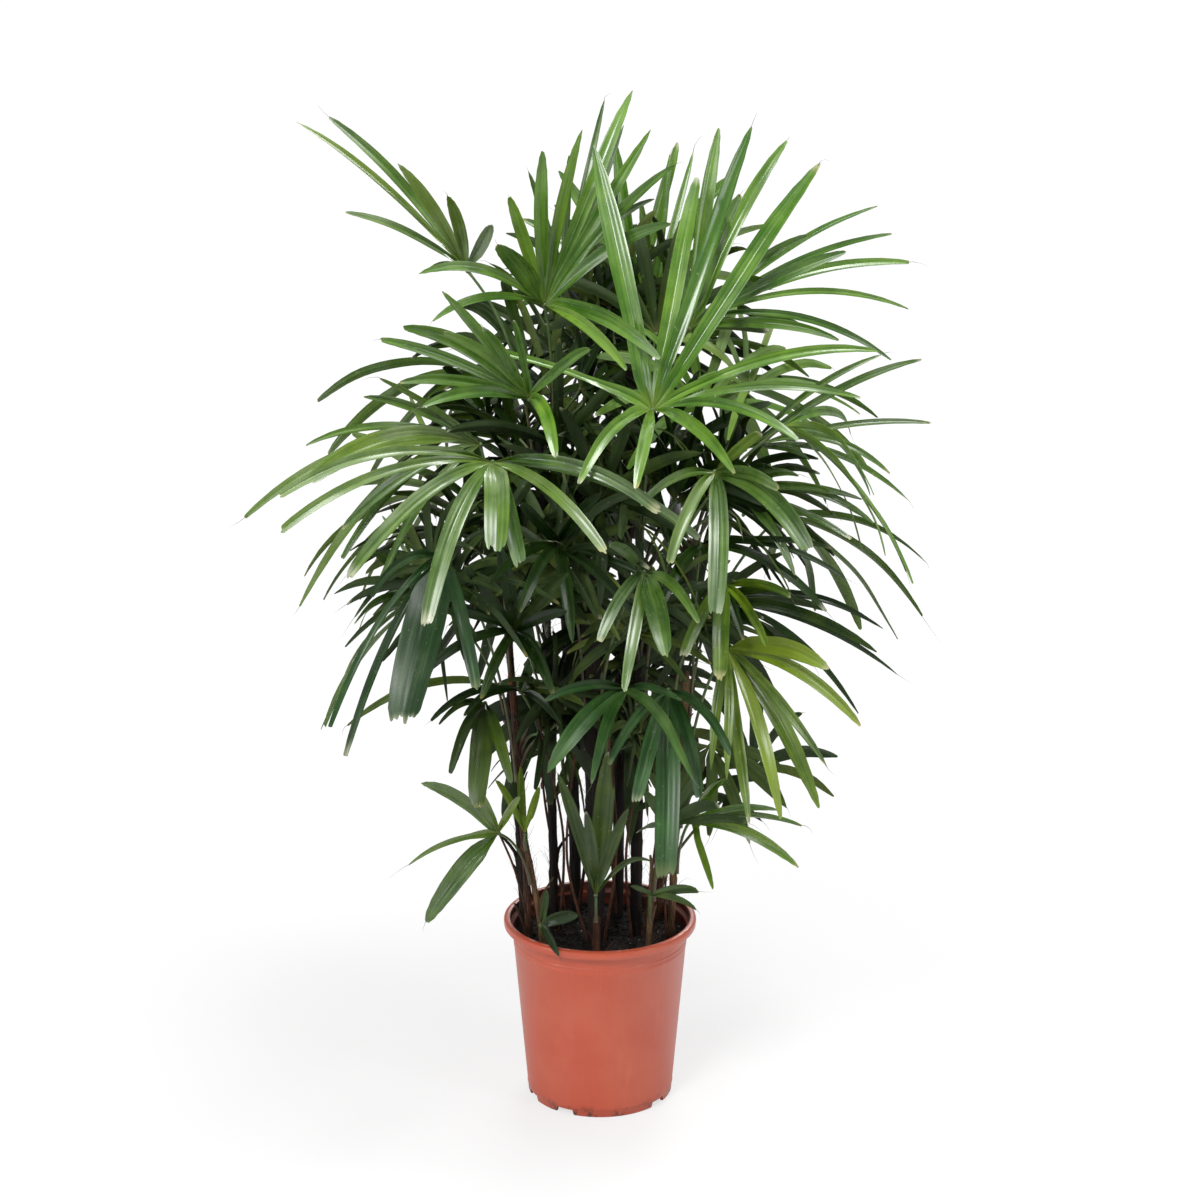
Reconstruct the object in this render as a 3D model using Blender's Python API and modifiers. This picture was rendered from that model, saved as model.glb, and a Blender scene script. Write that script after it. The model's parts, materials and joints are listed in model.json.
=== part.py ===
"""A potted lady palm: a nursery pot, its soil, twelve canes and the fan leaves that they carry.

Metres, +Z up. The origin is the centre of the pot's base, on the surface that it stands on. The plant's
front faces -Y. Each leaf is one piece: a petiole that starts beside its cane and a fan of narrow blades.
"""

import itertools
import math
from typing import NamedTuple

import bmesh
import bpy
from mathutils import Matrix, Vector
from mathutils.bvhtree import BVHTree

OBJECT_NAME = "potted_lady_palm"
GAP = 0.0003  # between pieces that touch
MERGE = 0.0001

# Pot
POT_HEIGHT = 0.2325
RIM_RADIUS = 0.120
MOUTH_RADIUS = 0.1115
BASE_RADIUS = 0.0905
WALL_SLOPE = 0.0865  # growth of the outer radius per metre of height
WALL = 0.0018
COLLAR_DROP = 0.010  # height of the turned-down rim
FLOOR_RAISE = 0.008  # underside of the floor above the feet
FLOOR_THICKNESS = 0.0022
FOOT_WIDTH = 0.0045
POT_STEPS = 36
NOTCHES = 6
NOTCH_CENTRES = (-29.0, 53.0)  # degrees from the front, repeated every 120
NOTCH_WIDTH = 0.029
DRAIN_HOLES = 6
DRAIN_RADIUS = 0.006

# Soil and canes
SOIL_TOP = 0.205
SOIL_DOME = 0.004
SOCKET_DEPTH = 0.035
CANE_SIDES = 12
CANE_POINTS = 6


class Cane(NamedTuple):
    """A cane's colour, its foot and top in plan, the height of its top, and its radius, all in metres."""

    tone: str
    foot: tuple
    top: tuple
    height: float
    radius: float


CANES = {
    "cane_dark_left": Cane("dark", (-0.096, 0.005), (-0.112, 0.020), 0.52, 0.0045),
    "cane_red": Cane("brown", (-0.088, -0.022), (-0.115, -0.030), 0.66, 0.0050),
    "cane_tan_left": Cane("tan", (-0.070, -0.058), (-0.092, -0.062), 0.36, 0.0040),
    "cane_black": Cane("dark", (-0.057, 0.012), (-0.072, 0.015), 0.84, 0.0060),
    "cane_thick": Cane("dark", (-0.004, -0.030), (-0.015, -0.030), 0.70, 0.0120),
    "cane_middle_right": Cane("dark", (0.045, -0.005), (0.048, -0.020), 0.70, 0.0080),
    "cane_tan_front": Cane("tan", (0.060, -0.062), (0.064, -0.066), 0.32, 0.0040),
    "cane_tan_right": Cane("tan", (0.088, -0.022), (0.105, -0.030), 0.56, 0.0050),
    "cane_rear_right": Cane("dark", (0.022, 0.048), (0.040, 0.070), 0.94, 0.0080),
    "cane_rear_left": Cane("dark", (-0.030, 0.055), (-0.055, 0.075), 0.90, 0.0080),
    "cane_rear_far_right": Cane("brown", (0.072, 0.050), (0.110, 0.070), 0.70, 0.0070),
    "cane_sucker": Cane("brown", (-0.004, -0.070), (-0.004, -0.070), 0.26, 0.0050),
}

CANE_TONES = {
    "dark": (0.012, 0.009, 0.007),
    "brown": (0.050, 0.026, 0.015),
    "tan": (0.095, 0.058, 0.030),
}

# Leaves
LEAF_TONES = {
    "bright": (0.085, 0.205, 0.030),
    "green": (0.055, 0.140, 0.028),
    "deep": (0.030, 0.085, 0.016),
    "blue": (0.045, 0.110, 0.045),
    "yellow": (0.140, 0.200, 0.022),
}
PETIOLE_RADIUS = 0.0018
PETIOLE_POINTS = 7
BLADE_THICKNESS = 0.0010
FAN_BASE = 0.026  # how far from the hub the blades stay joined
LONG_BLADE = 0.12
SECTIONS = ((0.32, 0.88), (0.56, 1.0), (0.80, 0.86), (1.0, 0.42))  # along a blade, with its share of width
SHORT_SECTIONS = ((0.36, 0.90), (0.72, 0.95), (1.0, 0.45))
REACH_TOWARDS = 0.6  # share of a blade's hidden length that comes towards the viewer
CLEAR_SIDE = 0.0012
CLEAR_FACE = 0.0010


class Leaf(NamedTuple):
    """A leaf, as seen from its own viewing side.

    hub is where the blades meet. turn is the viewing side in degrees about +Z, 0 at the front. lean is
    how far the fan's plane falls back per metre to the right and per metre up. length is the blades'
    full length. Each blade is (degrees from the right, reach mm, width mm, arch percent) as seen.
    """

    name: str
    tone: str
    cane: str
    height: float
    hub: tuple
    turn: float
    lean: tuple
    length: float
    blades: tuple


SPREAD = (
    (-14, 150, 12, 9), (10, 160, 13, 7), (34, 165, 14, 5), (58, 175, 15, 4), (82, 185, 15, 4),
    (106, 190, 14, 4), (130, 195, 14, 5), (156, 190, 12, 7), (182, 170, 12, 9),
)
HANGING = (
    (-168, 170, 13, 12), (-142, 185, 14, 12), (-116, 180, 17, 10), (-90, 170, 19, 9),
    (-64, 175, 16, 10), (-38, 185, 14, 12), (-12, 175, 12, 12),
)
DROOPING = (
    (-150, 150, 13, 12), (-120, 165, 15, 10), (-92, 160, 17, 9), (-62, 160, 15, 10), (-30, 165, 13, 12),
    (4, 150, 12, 10), (40, 130, 12, 7), (90, 120, 12, 5), (140, 130, 12, 7), (176, 150, 12, 10),
)

LEAVES = (
    Leaf(
        "leaf_bright_front", "bright", "cane_middle_right", 0.66,
        (0.060, -0.110, 0.895), 0, (-0.1, 0.35), 0.29,
        (
            (-18, 90, 15, 12), (0, 155, 12, 12), (9, 230, 9, 7), (17, 265, 12, 7),
            (56, 340, 20, 3), (71, 345, 18, 3), (79, 270, 20, 3), (103, 300, 24, 3),
            (162, 245, 7, 6), (209, 95, 13, 12), (245, 50, 15, 10),
        ),
    ),
    Leaf(
        "leaf_left_front", "green", "cane_red", 0.56,
        (-0.120, -0.180, 0.850), 0, (0.1, 0.3), 0.28,
        (
            (-178, 225, 11, 14), (-168, 230, 11, 14), (-151, 170, 14, 14), (-117, 145, 19, 12),
            (-79, 50, 26, 10), (-62, 75, 18, 10), (-27, 140, 13, 12), (-17, 240, 11, 10),
            (-8, 185, 14, 12),
        ),
    ),
    Leaf(
        "leaf_right_front", "green", "cane_middle_right", 0.50,
        (0.130, -0.140, 0.830), 0, (0, 0.3), 0.26,
        (
            (-175, 85, 12, 10), (-131, 85, 14, 10), (-92, 120, 21, 10), (-28, 110, 22, 12),
            (16, 65, 14, 7), (58, 85, 12, 3),
        ),
    ),
    Leaf(
        "leaf_left_broad", "blue", "cane_red", 0.42,
        (-0.180, -0.150, 0.735), 0, (0, 0.3), 0.26,
        (
            (-177, 70, 11, 12), (-127, 200, 7, 15), (-118, 235, 9, 15), (-104, 150, 42, 8),
            (-66, 110, 14, 10),
        ),
    ),
    Leaf(
        "leaf_crown_left", "green", "cane_rear_left", 0.78,
        (-0.065, 0.020, 0.995), 0, (-0.1, 0.25), 0.28,
        (
            (-25, 105, 14, 8), (-13, 135, 16, 10), (38, 185, 14, 7), (49, 230, 11, 7),
            (59, 240, 14, 3), (68, 275, 16, 3), (78, 215, 14, 3), (90, 185, 15, 3),
            (105, 145, 14, 3), (120, 100, 24, 3), (160, 150, 11, 15), (176, 125, 9, 12),
        ),
    ),
    Leaf(
        "leaf_crown_far_left", "green", "cane_black", 0.80,
        (-0.155, 0.020, 1.035), 0, (0.2, 0.3), 0.27,
        (
            (65, 80, 16, 3), (99, 105, 15, 3), (118, 155, 13, 5), (131, 240, 12, 4),
            (138, 265, 8, 4), (147, 155, 9, 8), (160, 45, 9, 7),
        ),
    ),
    Leaf(
        "leaf_crown_right", "bright", "cane_rear_right", 0.74,
        (0.105, 0.000, 0.970), 0, (-0.1, 0.3), 0.27,
        (
            (6, 165, 11, 7), (30, 200, 15, 7), (63, 250, 14, 3), (72, 175, 14, 3),
            (82, 235, 15, 3), (97, 120, 14, 3),
        ),
    ),
    Leaf(
        "leaf_right_yellow", "yellow", "cane_tan_right", 0.36,
        (0.150, -0.090, 0.605), 0, (0, 0.25), 0.26,
        (
            (-105, 95, 12, 8), (-94, 105, 11, 8), (-83, 165, 14, 8), (-70, 165, 15, 10),
            (-56, 180, 19, 10), (-42, 145, 12, 10), (-19, 155, 14, 12), (8, 110, 33, 10),
        ),
    ),
    Leaf(
        "leaf_left_upper", "green", "cane_thick", 0.66,
        (-0.080, -0.120, 0.910), 0, (0.1, 0.3), 0.27,
        (
            (-45, 45, 16, 15), (49, 105, 12, 7), (97, 110, 9, 3), (114, 115, 11, 3),
            (124, 165, 12, 3), (133, 130, 11, 7), (142, 170, 16, 7), (152, 180, 11, 7),
            (161, 145, 12, 7), (170, 115, 14, 7),
        ),
    ),
    Leaf(
        "leaf_left_long", "deep", "cane_red", 0.62,
        (-0.140, -0.040, 0.840), 0, (0.1, 0.2), 0.27,
        (
            (137, 145, 7, 7), (147, 150, 11, 7), (171, 195, 9, 12), (184, 190, 22, 14),
            (195, 282, 11, 16), (204, 165, 14, 12), (212, 180, 9, 15), (220, 275, 11, 22),
            (229, 170, 8, 12),
        ),
    ),
    Leaf(
        "leaf_blue_hanging", "blue", "cane_middle_right", 0.42,
        (0.080, -0.120, 0.565), 0, (0, 0.3), 0.26,
        (
            (-152, 80, 12, 10), (-116, 90, 19, 10), (-92, 170, 27, 10), (-67, 80, 16, 10),
            (-18, 70, 12, 10),
        ),
    ),
    Leaf(
        "leaf_left_lower", "deep", "cane_black", 0.44,
        (-0.100, -0.100, 0.630), 0, (0, 0.25), 0.25,
        (
            (-30, 55, 16, 10), (43, 85, 14, 3), (58, 120, 14, 3), (96, 130, 16, 3),
            (116, 120, 14, 3), (136, 115, 11, 7), (148, 105, 11, 7), (161, 155, 12, 12),
            (186, 100, 12, 12), (229, 50, 13, 10),
        ),
    ),
    Leaf(
        "leaf_low_left", "green", "cane_tan_left", 0.30,
        (-0.120, -0.130, 0.390), 0, (0.1, 0.2), 0.2,
        (
            (70, 80, 9, 3), (107, 100, 11, 3), (133, 125, 14, 7), (177, 100, 7, 7),
            (217, 100, 24, 8),
        ),
    ),
    Leaf(
        "leaf_sucker", "blue", "cane_sucker", 0.24,
        (-0.005, -0.078, 0.290), 0, (0, 0), 0.2,
        (
            (52, 105, 7, 20), (75, 145, 14, 2), (85, 185, 24, 2), (95, 140, 12, 2),
            (105, 175, 15, 2),
        ),
    ),
    Leaf(
        "leaf_right_top", "bright", "cane_rear_right", 0.84,
        (0.120, 0.100, 0.965), 0, (0.1, 0.2), 0.26,
        (
            (-12, 240, 9, 15), (2, 255, 8, 15), (15, 265, 11, 7), (23, 255, 7, 7),
            (32, 255, 7, 7), (42, 165, 12, 7),
        ),
    ),
    Leaf(
        "leaf_right_upper", "bright", "cane_rear_far_right", 0.66,
        (0.175, 0.050, 0.815), 0, (0, 0.2), 0.25,
        (
            (-13, 195, 7, 20), (0, 165, 9, 15), (9, 225, 7, 7), (18, 70, 9, 7),
            (28, 240, 9, 7), (38, 200, 7, 7),
        ),
    ),
    Leaf(
        "leaf_right_middle", "green", "cane_rear_far_right", 0.55,
        (0.160, 0.020, 0.770), 0, (0, 0.2), 0.24,
        (
            (-46, 95, 13, 12), (-12, 135, 8, 7), (-4, 160, 9, 12), (5, 145, 8, 10),
            (15, 110, 11, 7), (36, 85, 11, 7),
        ),
    ),
    Leaf(
        "leaf_right_lower", "deep", "cane_tan_right", 0.50,
        (0.120, -0.020, 0.715), 0, (0, 0.2), 0.24,
        (
            (-139, 70, 14, 12), (-60, 90, 12, 10), (-19, 150, 11, 15), (-4, 165, 7, 10),
            (10, 150, 7, 7), (25, 75, 9, 7),
        ),
    ),
    Leaf(
        "leaf_right_low_rear", "deep", "cane_tan_right", 0.44,
        (0.140, 0.050, 0.625), 0, (0, 0.2), 0.24,
        (
            (-36, 220, 8, 15), (-28, 105, 12, 10), (-20, 240, 7, 10), (-13, 200, 12, 12),
            (-5, 205, 9, 12), (27, 95, 11, 7),
        ),
    ),
    Leaf(
        "leaf_right_hanging", "yellow", "cane_tan_right", 0.40,
        (0.145, -0.115, 0.690), 0, (0, 0.3), 0.24,
        (
            (-143, 65, 14, 10), (-100, 65, 20, 10), (-37, 50, 12, 10), (17, 70, 11, 7),
        ),
    ),
    Leaf(
        "leaf_middle_front", "deep", "cane_thick", 0.46,
        (0.050, -0.150, 0.715), 0, (0, 0.3), 0.24,
        (
            (121, 75, 12, 3), (219, 65, 14, 10), (255, 90, 14, 10), (292, 60, 24, 10),
            (345, 60, 13, 10),
        ),
    ),
    Leaf(
        "leaf_middle_low", "blue", "cane_thick", 0.34,
        (0.030, -0.130, 0.570), 0, (0, 0.3), 0.25,
        (
            (166, 95, 12, 10), (212, 105, 21, 10), (236, 70, 14, 10), (332, 80, 14, 10),
            (382, 65, 11, 7),
        ),
    ),
    Leaf(
        "leaf_left_hanging", "deep", "cane_dark_left", 0.36,
        (-0.135, -0.110, 0.545), 0, (0, 0.3), 0.22,
        (
            (161, 50, 9, 12), (226, 50, 12, 10), (267, 75, 26, 8), (305, 60, 14, 10),
        ),
    ),
    Leaf(
        "leaf_left_low_rear", "deep", "cane_black", 0.38,
        (-0.095, -0.050, 0.540), 0, (0, 0.2), 0.24,
        (
            (4, 50, 12, 10), (19, 80, 11, 10), (74, 95, 12, 3), (162, 65, 11, 10),
            (176, 100, 9, 14), (187, 205, 9, 20),
        ),
    ),
    Leaf(
        "leaf_middle", "deep", "cane_thick", 0.52,
        (-0.050, -0.080, 0.730), 0, (0, 0.25), 0.25,
        (
            (60, 100, 13, 3), (117, 85, 13, 3), (186, 75, 14, 10), (225, 55, 14, 10),
            (284, 80, 16, 10), (335, 100, 12, 6), (345, 160, 9, 6),
        ),
    ),
    Leaf(
        "leaf_spear", "green", "cane_tan_left", 0.33,
        (-0.090, -0.080, 0.370), 0, (0, 0), 0.1,
        (
            (76, 75, 9, 3), (93, 90, 9, 3), (113, 85, 9, 3),
        ),
    ),
    Leaf(
        "leaf_soil", "bright", "cane_tan_left", 0.23,
        (-0.072, -0.080, 0.252), 0, (0, 0.1), 0.09,
        (
            (-40, 30, 11, 7), (33, 55, 16, 7), (82, 60, 9, 3),
        ),
    ),
    Leaf(
        "leaf_low_right", "bright", "cane_tan_right", 0.30,
        (0.110, -0.060, 0.380), 0, (0, 0.1), 0.22,
        (
            (-60, 45, 9, 7), (-8, 125, 13, 12), (3, 100, 9, 7), (13, 130, 7, 7),
            (28, 110, 9, 7), (69, 100, 12, 3),
        ),
    ),
    Leaf(
        "leaf_low_right_inner", "blue", "cane_tan_front", 0.28,
        (0.080, -0.100, 0.385), 0, (0, 0.2), 0.2,
        (
            (26, 100, 11, 7), (47, 85, 16, 7), (70, 105, 12, 3), (110, 80, 12, 3),
            (138, 50, 11, 7),
        ),
    ),
    Leaf(
        "leaf_rim_right", "blue", "cane_tan_front", 0.25,
        (0.060, -0.084, 0.292), 0, (0, 0.2), 0.14,
        (
            (12, 55, 9, 7), (30, 65, 12, 7), (121, 45, 8, 3),
        ),
    ),
    Leaf(
        "leaf_crown_left_rear", "green", "cane_rear_left", 0.86,
        (-0.045, 0.120, 1.005), 0, (0, 0.3), 0.25,
        (
            (47, 160, 9, 7), (61, 190, 8, 3), (69, 205, 9, 3), (77, 225, 8, 3),
            (87, 165, 9, 3), (105, 150, 9, 3),
        ),
    ),
    Leaf(
        "leaf_crown_rear", "bright", "cane_rear_right", 0.90,
        (0.060, 0.160, 0.950), 0, (0, 0.3), 0.24,
        (
            (57, 195, 11, 3), (66, 170, 12, 3), (75, 215, 9, 3), (83, 210, 9, 3),
            (94, 155, 12, 3), (108, 155, 12, 3), (123, 135, 11, 3),
        ),
    ),
    Leaf(
        "leaf_inner_front", "deep", "cane_middle_right", 0.58,
        (0.000, -0.020, 0.770), 0, (0, 0.2), 0.25,
        (
            (-10, 105, 13, 7), (35, 140, 13, 7), (72, 150, 13, 3), (109, 140, 13, 3),
            (142, 145, 13, 7), (218, 100, 13, 7), (270, 85, 14, 7),
        ),
    ),
    Leaf(
        "leaf_inner_right", "deep", "cane_rear_right", 0.60,
        (0.060, 0.060, 0.785), 0, (0, 0.2), 0.25,
        (
            (-69, 90, 13, 7), (-4, 130, 13, 7), (36, 175, 13, 7), (68, 150, 13, 3),
            (105, 145, 13, 3), (146, 130, 13, 7),
        ),
    ),
    Leaf(
        "leaf_inner_left", "deep", "cane_rear_left", 0.62,
        (-0.050, 0.030, 0.825), 0, (0, 0.2), 0.25,
        (
            (12, 110, 13, 7), (53, 140, 13, 3), (89, 145, 13, 3), (122, 145, 13, 3),
            (156, 135, 13, 7), (225, 95, 13, 7),
        ),
    ),
    Leaf(
        "leaf_back_top", "bright", "cane_rear_left", 0.82,
        (0.045, 0.170, 0.985), 184, (0, 0.4), 0.27,
        SPREAD,
    ),
    Leaf(
        "leaf_back_upper_left", "green", "cane_rear_left", 0.70,
        (-0.150, 0.165, 0.890), 212, (0, 0.4), 0.26,
        HANGING,
    ),
    Leaf(
        "leaf_back_upper_right", "green", "cane_rear_right", 0.70,
        (0.150, 0.170, 0.870), 152, (0, 0.4), 0.26,
        HANGING,
    ),
    Leaf(
        "leaf_back_middle", "deep", "cane_rear_right", 0.54,
        (0.010, 0.195, 0.770), 180, (0, 0.3), 0.25,
        DROOPING,
    ),
    Leaf(
        "leaf_back_left", "green", "cane_black", 0.56,
        (-0.185, 0.100, 0.750), 236, (0, 0.4), 0.24,
        DROOPING,
    ),
    Leaf(
        "leaf_back_right", "yellow", "cane_rear_far_right", 0.46,
        (0.222, 0.135, 0.710), 128, (0, 0.4), 0.24,
        HANGING,
    ),
    Leaf(
        "leaf_back_low_left", "deep", "cane_rear_left", 0.44,
        (-0.110, 0.195, 0.610), 204, (0, 0.3), 0.24,
        HANGING,
    ),
    Leaf(
        "leaf_back_low_right", "deep", "cane_rear_far_right", 0.38,
        (0.120, 0.200, 0.560), 160, (0, 0.3), 0.24,
        DROOPING,
    ),
    Leaf(
        "leaf_back_low", "blue", "cane_rear_right", 0.32,
        (0.000, 0.165, 0.450), 182, (0, 0.3), 0.20,
        DROOPING,
    ),
    Leaf(
        "leaf_side_left", "green", "cane_dark_left", 0.48,
        (-0.205, 0.010, 0.640), 268, (0, 0.4), 0.22,
        DROOPING,
    ),
    Leaf(
        "leaf_side_right", "bright", "cane_middle_right", 0.58,
        (0.215, -0.030, 0.860), 88, (0, 0.4), 0.24,
        HANGING,
    ),
)

# A piece that would run into another is tried again with a small change, the least change first.
SHIFTS = (0.0, 0.012, -0.012, 0.025, -0.025, 0.04, -0.04, 0.055, -0.055, 0.075, -0.075, 0.10, -0.10)
SWINGS = (0, 3, -3, 6, -6, 9, -9)
BLADE_NUDGES = sorted(itertools.product(SHIFTS, SWINGS), key=lambda n: abs(n[0]) / 0.012 + abs(n[1]) / 2)
SIDES = (0.0, 0.015, -0.015, 0.03, -0.03, 0.05, -0.05, 0.075, -0.075, 0.10, -0.10)
STARTS = (0, 25, -25, 50, -50, 80, -80)
DROPS = (0.0, -0.015, 0.015, -0.03)
PETIOLE_NUDGES = sorted(
    itertools.product(SIDES, STARTS, DROPS),
    key=lambda n: abs(n[0]) / 0.015 + abs(n[1]) / 25 + abs(n[2]) / 0.015,
)


def clear_scene():
    """Remove what the scene holds."""
    for obj in list(bpy.data.objects):
        bpy.data.objects.remove(obj, do_unlink=True)


def make_collection(name):
    """Return a new collection in the scene."""
    collection = bpy.data.collections.new(name)
    bpy.context.scene.collection.children.link(collection)
    return collection


def make_material(name, colour, roughness):
    """Return a Principled BSDF material."""
    material = bpy.data.materials.new(name)
    material.use_nodes = True
    shader = material.node_tree.nodes["Principled BSDF"]
    shader.inputs["Base Color"].default_value = (*colour, 1.0)
    shader.inputs["Roughness"].default_value = roughness
    shader.inputs["Metallic"].default_value = 0.0
    return material


def add_object(name, mesh, collection, material=None):
    """Return a new object of the mesh."""
    obj = bpy.data.objects.new(name, mesh)
    collection.objects.link(obj)
    if material:
        mesh.materials.append(material)
    mesh.shade_smooth()
    mesh.set_sharp_from_angle(angle=math.radians(35))
    return obj


def mark_cutter(obj):
    """Keep a cutter out of the model."""
    obj.hide_render = True
    obj.display_type = "WIRE"


def add_boolean(obj, other, operation):
    """Add a Boolean modifier that cuts or joins."""
    modifier = obj.modifiers.new(operation.lower(), "BOOLEAN")
    modifier.operation = operation
    modifier.solver = "EXACT"
    modifier.object = other


def turned(name, profile, steps, collection, material):
    """Return a turned object: a profile at +X with a Screw modifier."""
    mesh = bpy.data.meshes.new(name)
    points = [(radius, 0.0, height) for radius, height in profile]
    mesh.from_pydata(points, [(i, i + 1) for i in range(len(points) - 1)], [])
    obj = bpy.data.objects.new(name, mesh)
    collection.objects.link(obj)
    mesh.materials.append(material)
    screw = obj.modifiers.new("turn", "SCREW")
    screw.steps = steps
    screw.render_steps = steps
    screw.use_merge_vertices = True
    screw.merge_threshold = MERGE
    screw.use_smooth_shade = True
    return obj


def cylinder_mesh(name, radius, low, high, sides, centre=(0.0, 0.0)):
    """Return the mesh of an upright cylinder between two heights."""
    mesh = bpy.data.meshes.new(name)
    shape = bmesh.new()
    place = Matrix.Translation((centre[0], centre[1], (low + high) / 2))
    bmesh.ops.create_cone(
        shape, cap_ends=True, segments=sides, radius1=radius, radius2=radius, depth=high - low, matrix=place
    )
    shape.to_mesh(mesh)
    shape.free()
    return mesh


def wall_radius(height):
    """Return the pot wall's outer radius at a height."""
    return BASE_RADIUS + WALL_SLOPE * height


def pot_profile():
    """Return the pot's section from the floor's centre, over the rim and down to the feet."""
    floor_top = FLOOR_RAISE + FLOOR_THICKNESS
    under_rim = POT_HEIGHT - COLLAR_DROP - 0.004
    skirt = POT_HEIGHT - COLLAR_DROP
    foot_inner = BASE_RADIUS - FOOT_WIDTH
    return [
        (0.0, floor_top),
        (wall_radius(floor_top) - WALL - 0.0025, floor_top),
        (wall_radius(floor_top + 0.0025) - WALL, floor_top + 0.0025),
        (wall_radius(SOIL_TOP) - WALL, SOIL_TOP),
        (wall_radius(under_rim) - WALL, under_rim),
        (MOUTH_RADIUS, skirt + 0.001),
        (MOUTH_RADIUS + 0.0002, POT_HEIGHT - 0.0018),
        (MOUTH_RADIUS + 0.0016, POT_HEIGHT),
        (RIM_RADIUS - 0.0030, POT_HEIGHT),
        (RIM_RADIUS - 0.0009, POT_HEIGHT - 0.0014),
        (RIM_RADIUS, POT_HEIGHT - 0.0042),
        (RIM_RADIUS - 0.0006, skirt),
        (RIM_RADIUS - 0.0022, skirt),
        (RIM_RADIUS - 0.0030, POT_HEIGHT - 0.0030),
        (MOUTH_RADIUS + WALL + 0.0006, POT_HEIGHT - 0.0030),
        (MOUTH_RADIUS + WALL, skirt + 0.0006),
        (wall_radius(under_rim), under_rim),
        (wall_radius(0.002), 0.002),
        (wall_radius(0.0) - 0.0012, 0.0),
        (foot_inner, 0.0),
        (foot_inner - 0.0008, FLOOR_RAISE),
        (0.0, FLOOR_RAISE),
    ]


def build_pot(parts, cutters, material):
    """Build the pot with the notches between its feet and the drain holes in its floor."""
    pot = turned("pot", pot_profile(), POT_STEPS, parts, material)
    for index in range(NOTCHES):
        centre = NOTCH_CENTRES[index % 2] + 120 * (index // 2)
        mesh = bpy.data.meshes.new("notch")
        shape = bmesh.new()
        bmesh.ops.create_cube(shape, size=1.0)
        bmesh.ops.scale(shape, vec=(NOTCH_WIDTH, 0.02, 2 * FLOOR_RAISE - 0.0016), verts=shape.verts)
        for vert in shape.verts:
            if vert.co.z > 0:
                vert.co.x *= 0.72
        bmesh.ops.translate(shape, vec=(0, -(BASE_RADIUS - FOOT_WIDTH / 2), 0), verts=shape.verts)
        spin = Matrix.Rotation(math.radians(centre), 3, "Z")
        bmesh.ops.rotate(shape, cent=(0, 0, 0), matrix=spin, verts=shape.verts)
        shape.to_mesh(mesh)
        shape.free()
        cutter = add_object(f"notch_{index + 1}", mesh, cutters)
        mark_cutter(cutter)
        add_boolean(pot, cutter, "DIFFERENCE")
    for index in range(DRAIN_HOLES):
        angle = 2 * math.pi * index / DRAIN_HOLES
        centre = (0.06 * math.cos(angle), 0.06 * math.sin(angle))
        mesh = cylinder_mesh("drain", DRAIN_RADIUS, FLOOR_RAISE - 0.004, FLOOR_RAISE + 0.006, 10, centre)
        cutter = add_object(f"drain_{index + 1}", mesh, cutters)
        mark_cutter(cutter)
        add_boolean(pot, cutter, "DIFFERENCE")
    return pot


def cane_point(cane, height):
    """Return the point of a cane's middle line at a height."""
    share = (height - SOIL_TOP) / (cane.height - SOIL_TOP)
    bend = share * abs(share) ** 0.4
    foot, top = cane.foot, cane.top
    return Vector((foot[0] + (top[0] - foot[0]) * bend, foot[1] + (top[1] - foot[1]) * bend, height))


def build_soil(parts, cutters, material):
    """Build the soil with a socket for each cane."""
    low = FLOOR_RAISE + FLOOR_THICKNESS + GAP
    inner = WALL + GAP
    profile = [
        (0.0, SOIL_TOP + SOIL_DOME),
        (0.05, SOIL_TOP + 0.8 * SOIL_DOME),
        (0.085, SOIL_TOP + 0.3 * SOIL_DOME),
        (wall_radius(SOIL_TOP - 0.002) - inner, SOIL_TOP - 0.002),
        (wall_radius(low + 0.003) - inner, low + 0.003),
        (wall_radius(low) - inner - 0.0035, low),
        (0.0, low),
    ]
    soil = turned("soil", profile, POT_STEPS, parts, material)
    for name, cane in CANES.items():
        low = SOIL_TOP - SOCKET_DEPTH - GAP
        mesh = cylinder_mesh("socket", cane.radius + GAP, low, SOIL_TOP + 0.02, CANE_SIDES, cane.foot)
        cutter = add_object(f"socket_{name}", mesh, cutters)
        mark_cutter(cutter)
        add_boolean(soil, cutter, "DIFFERENCE")
    return soil


def tube(name, points, radius, resolution, collection):
    """Return a round tube along the points, made a mesh with its caps welded."""
    curve = bpy.data.curves.new(name, "CURVE")
    curve.dimensions = "3D"
    curve.bevel_depth = radius
    curve.bevel_resolution = resolution
    curve.use_fill_caps = True
    spline = curve.splines.new("POLY")
    spline.points.add(len(points) - 1)
    for point, place in zip(spline.points, points):
        point.co = (*place, 1.0)
    guide = bpy.data.objects.new(name, curve)
    collection.objects.link(guide)
    graph = bpy.context.evaluated_depsgraph_get()
    mesh = bpy.data.meshes.new_from_object(guide.evaluated_get(graph))
    bpy.data.objects.remove(guide, do_unlink=True)
    shape = bmesh.new()
    shape.from_mesh(mesh)
    bmesh.ops.remove_doubles(shape, verts=shape.verts, dist=0.00001)
    bmesh.ops.recalc_face_normals(shape, faces=shape.faces)
    shape.to_mesh(mesh)
    shape.free()
    mesh.name = name
    return mesh


def cane_line(cane):
    """Return the points of a cane's middle line, straight down into its socket."""
    low = SOIL_TOP + 0.008
    step = (cane.height - low) / (CANE_POINTS - 2)
    points = [cane_point(cane, low + step * index) for index in range(CANE_POINTS - 1)]
    points[0].x, points[0].y = cane.foot
    return [Vector((*cane.foot, SOIL_TOP - SOCKET_DEPTH)), *points]


def to_world(leaf, right, away, up):
    """Return a vector given as seen from the leaf's viewing side."""
    turn = math.radians(leaf.turn)
    cos, sin = math.cos(turn), math.sin(turn)
    return Vector((right * cos - away * sin, right * sin + away * cos, up))


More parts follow.
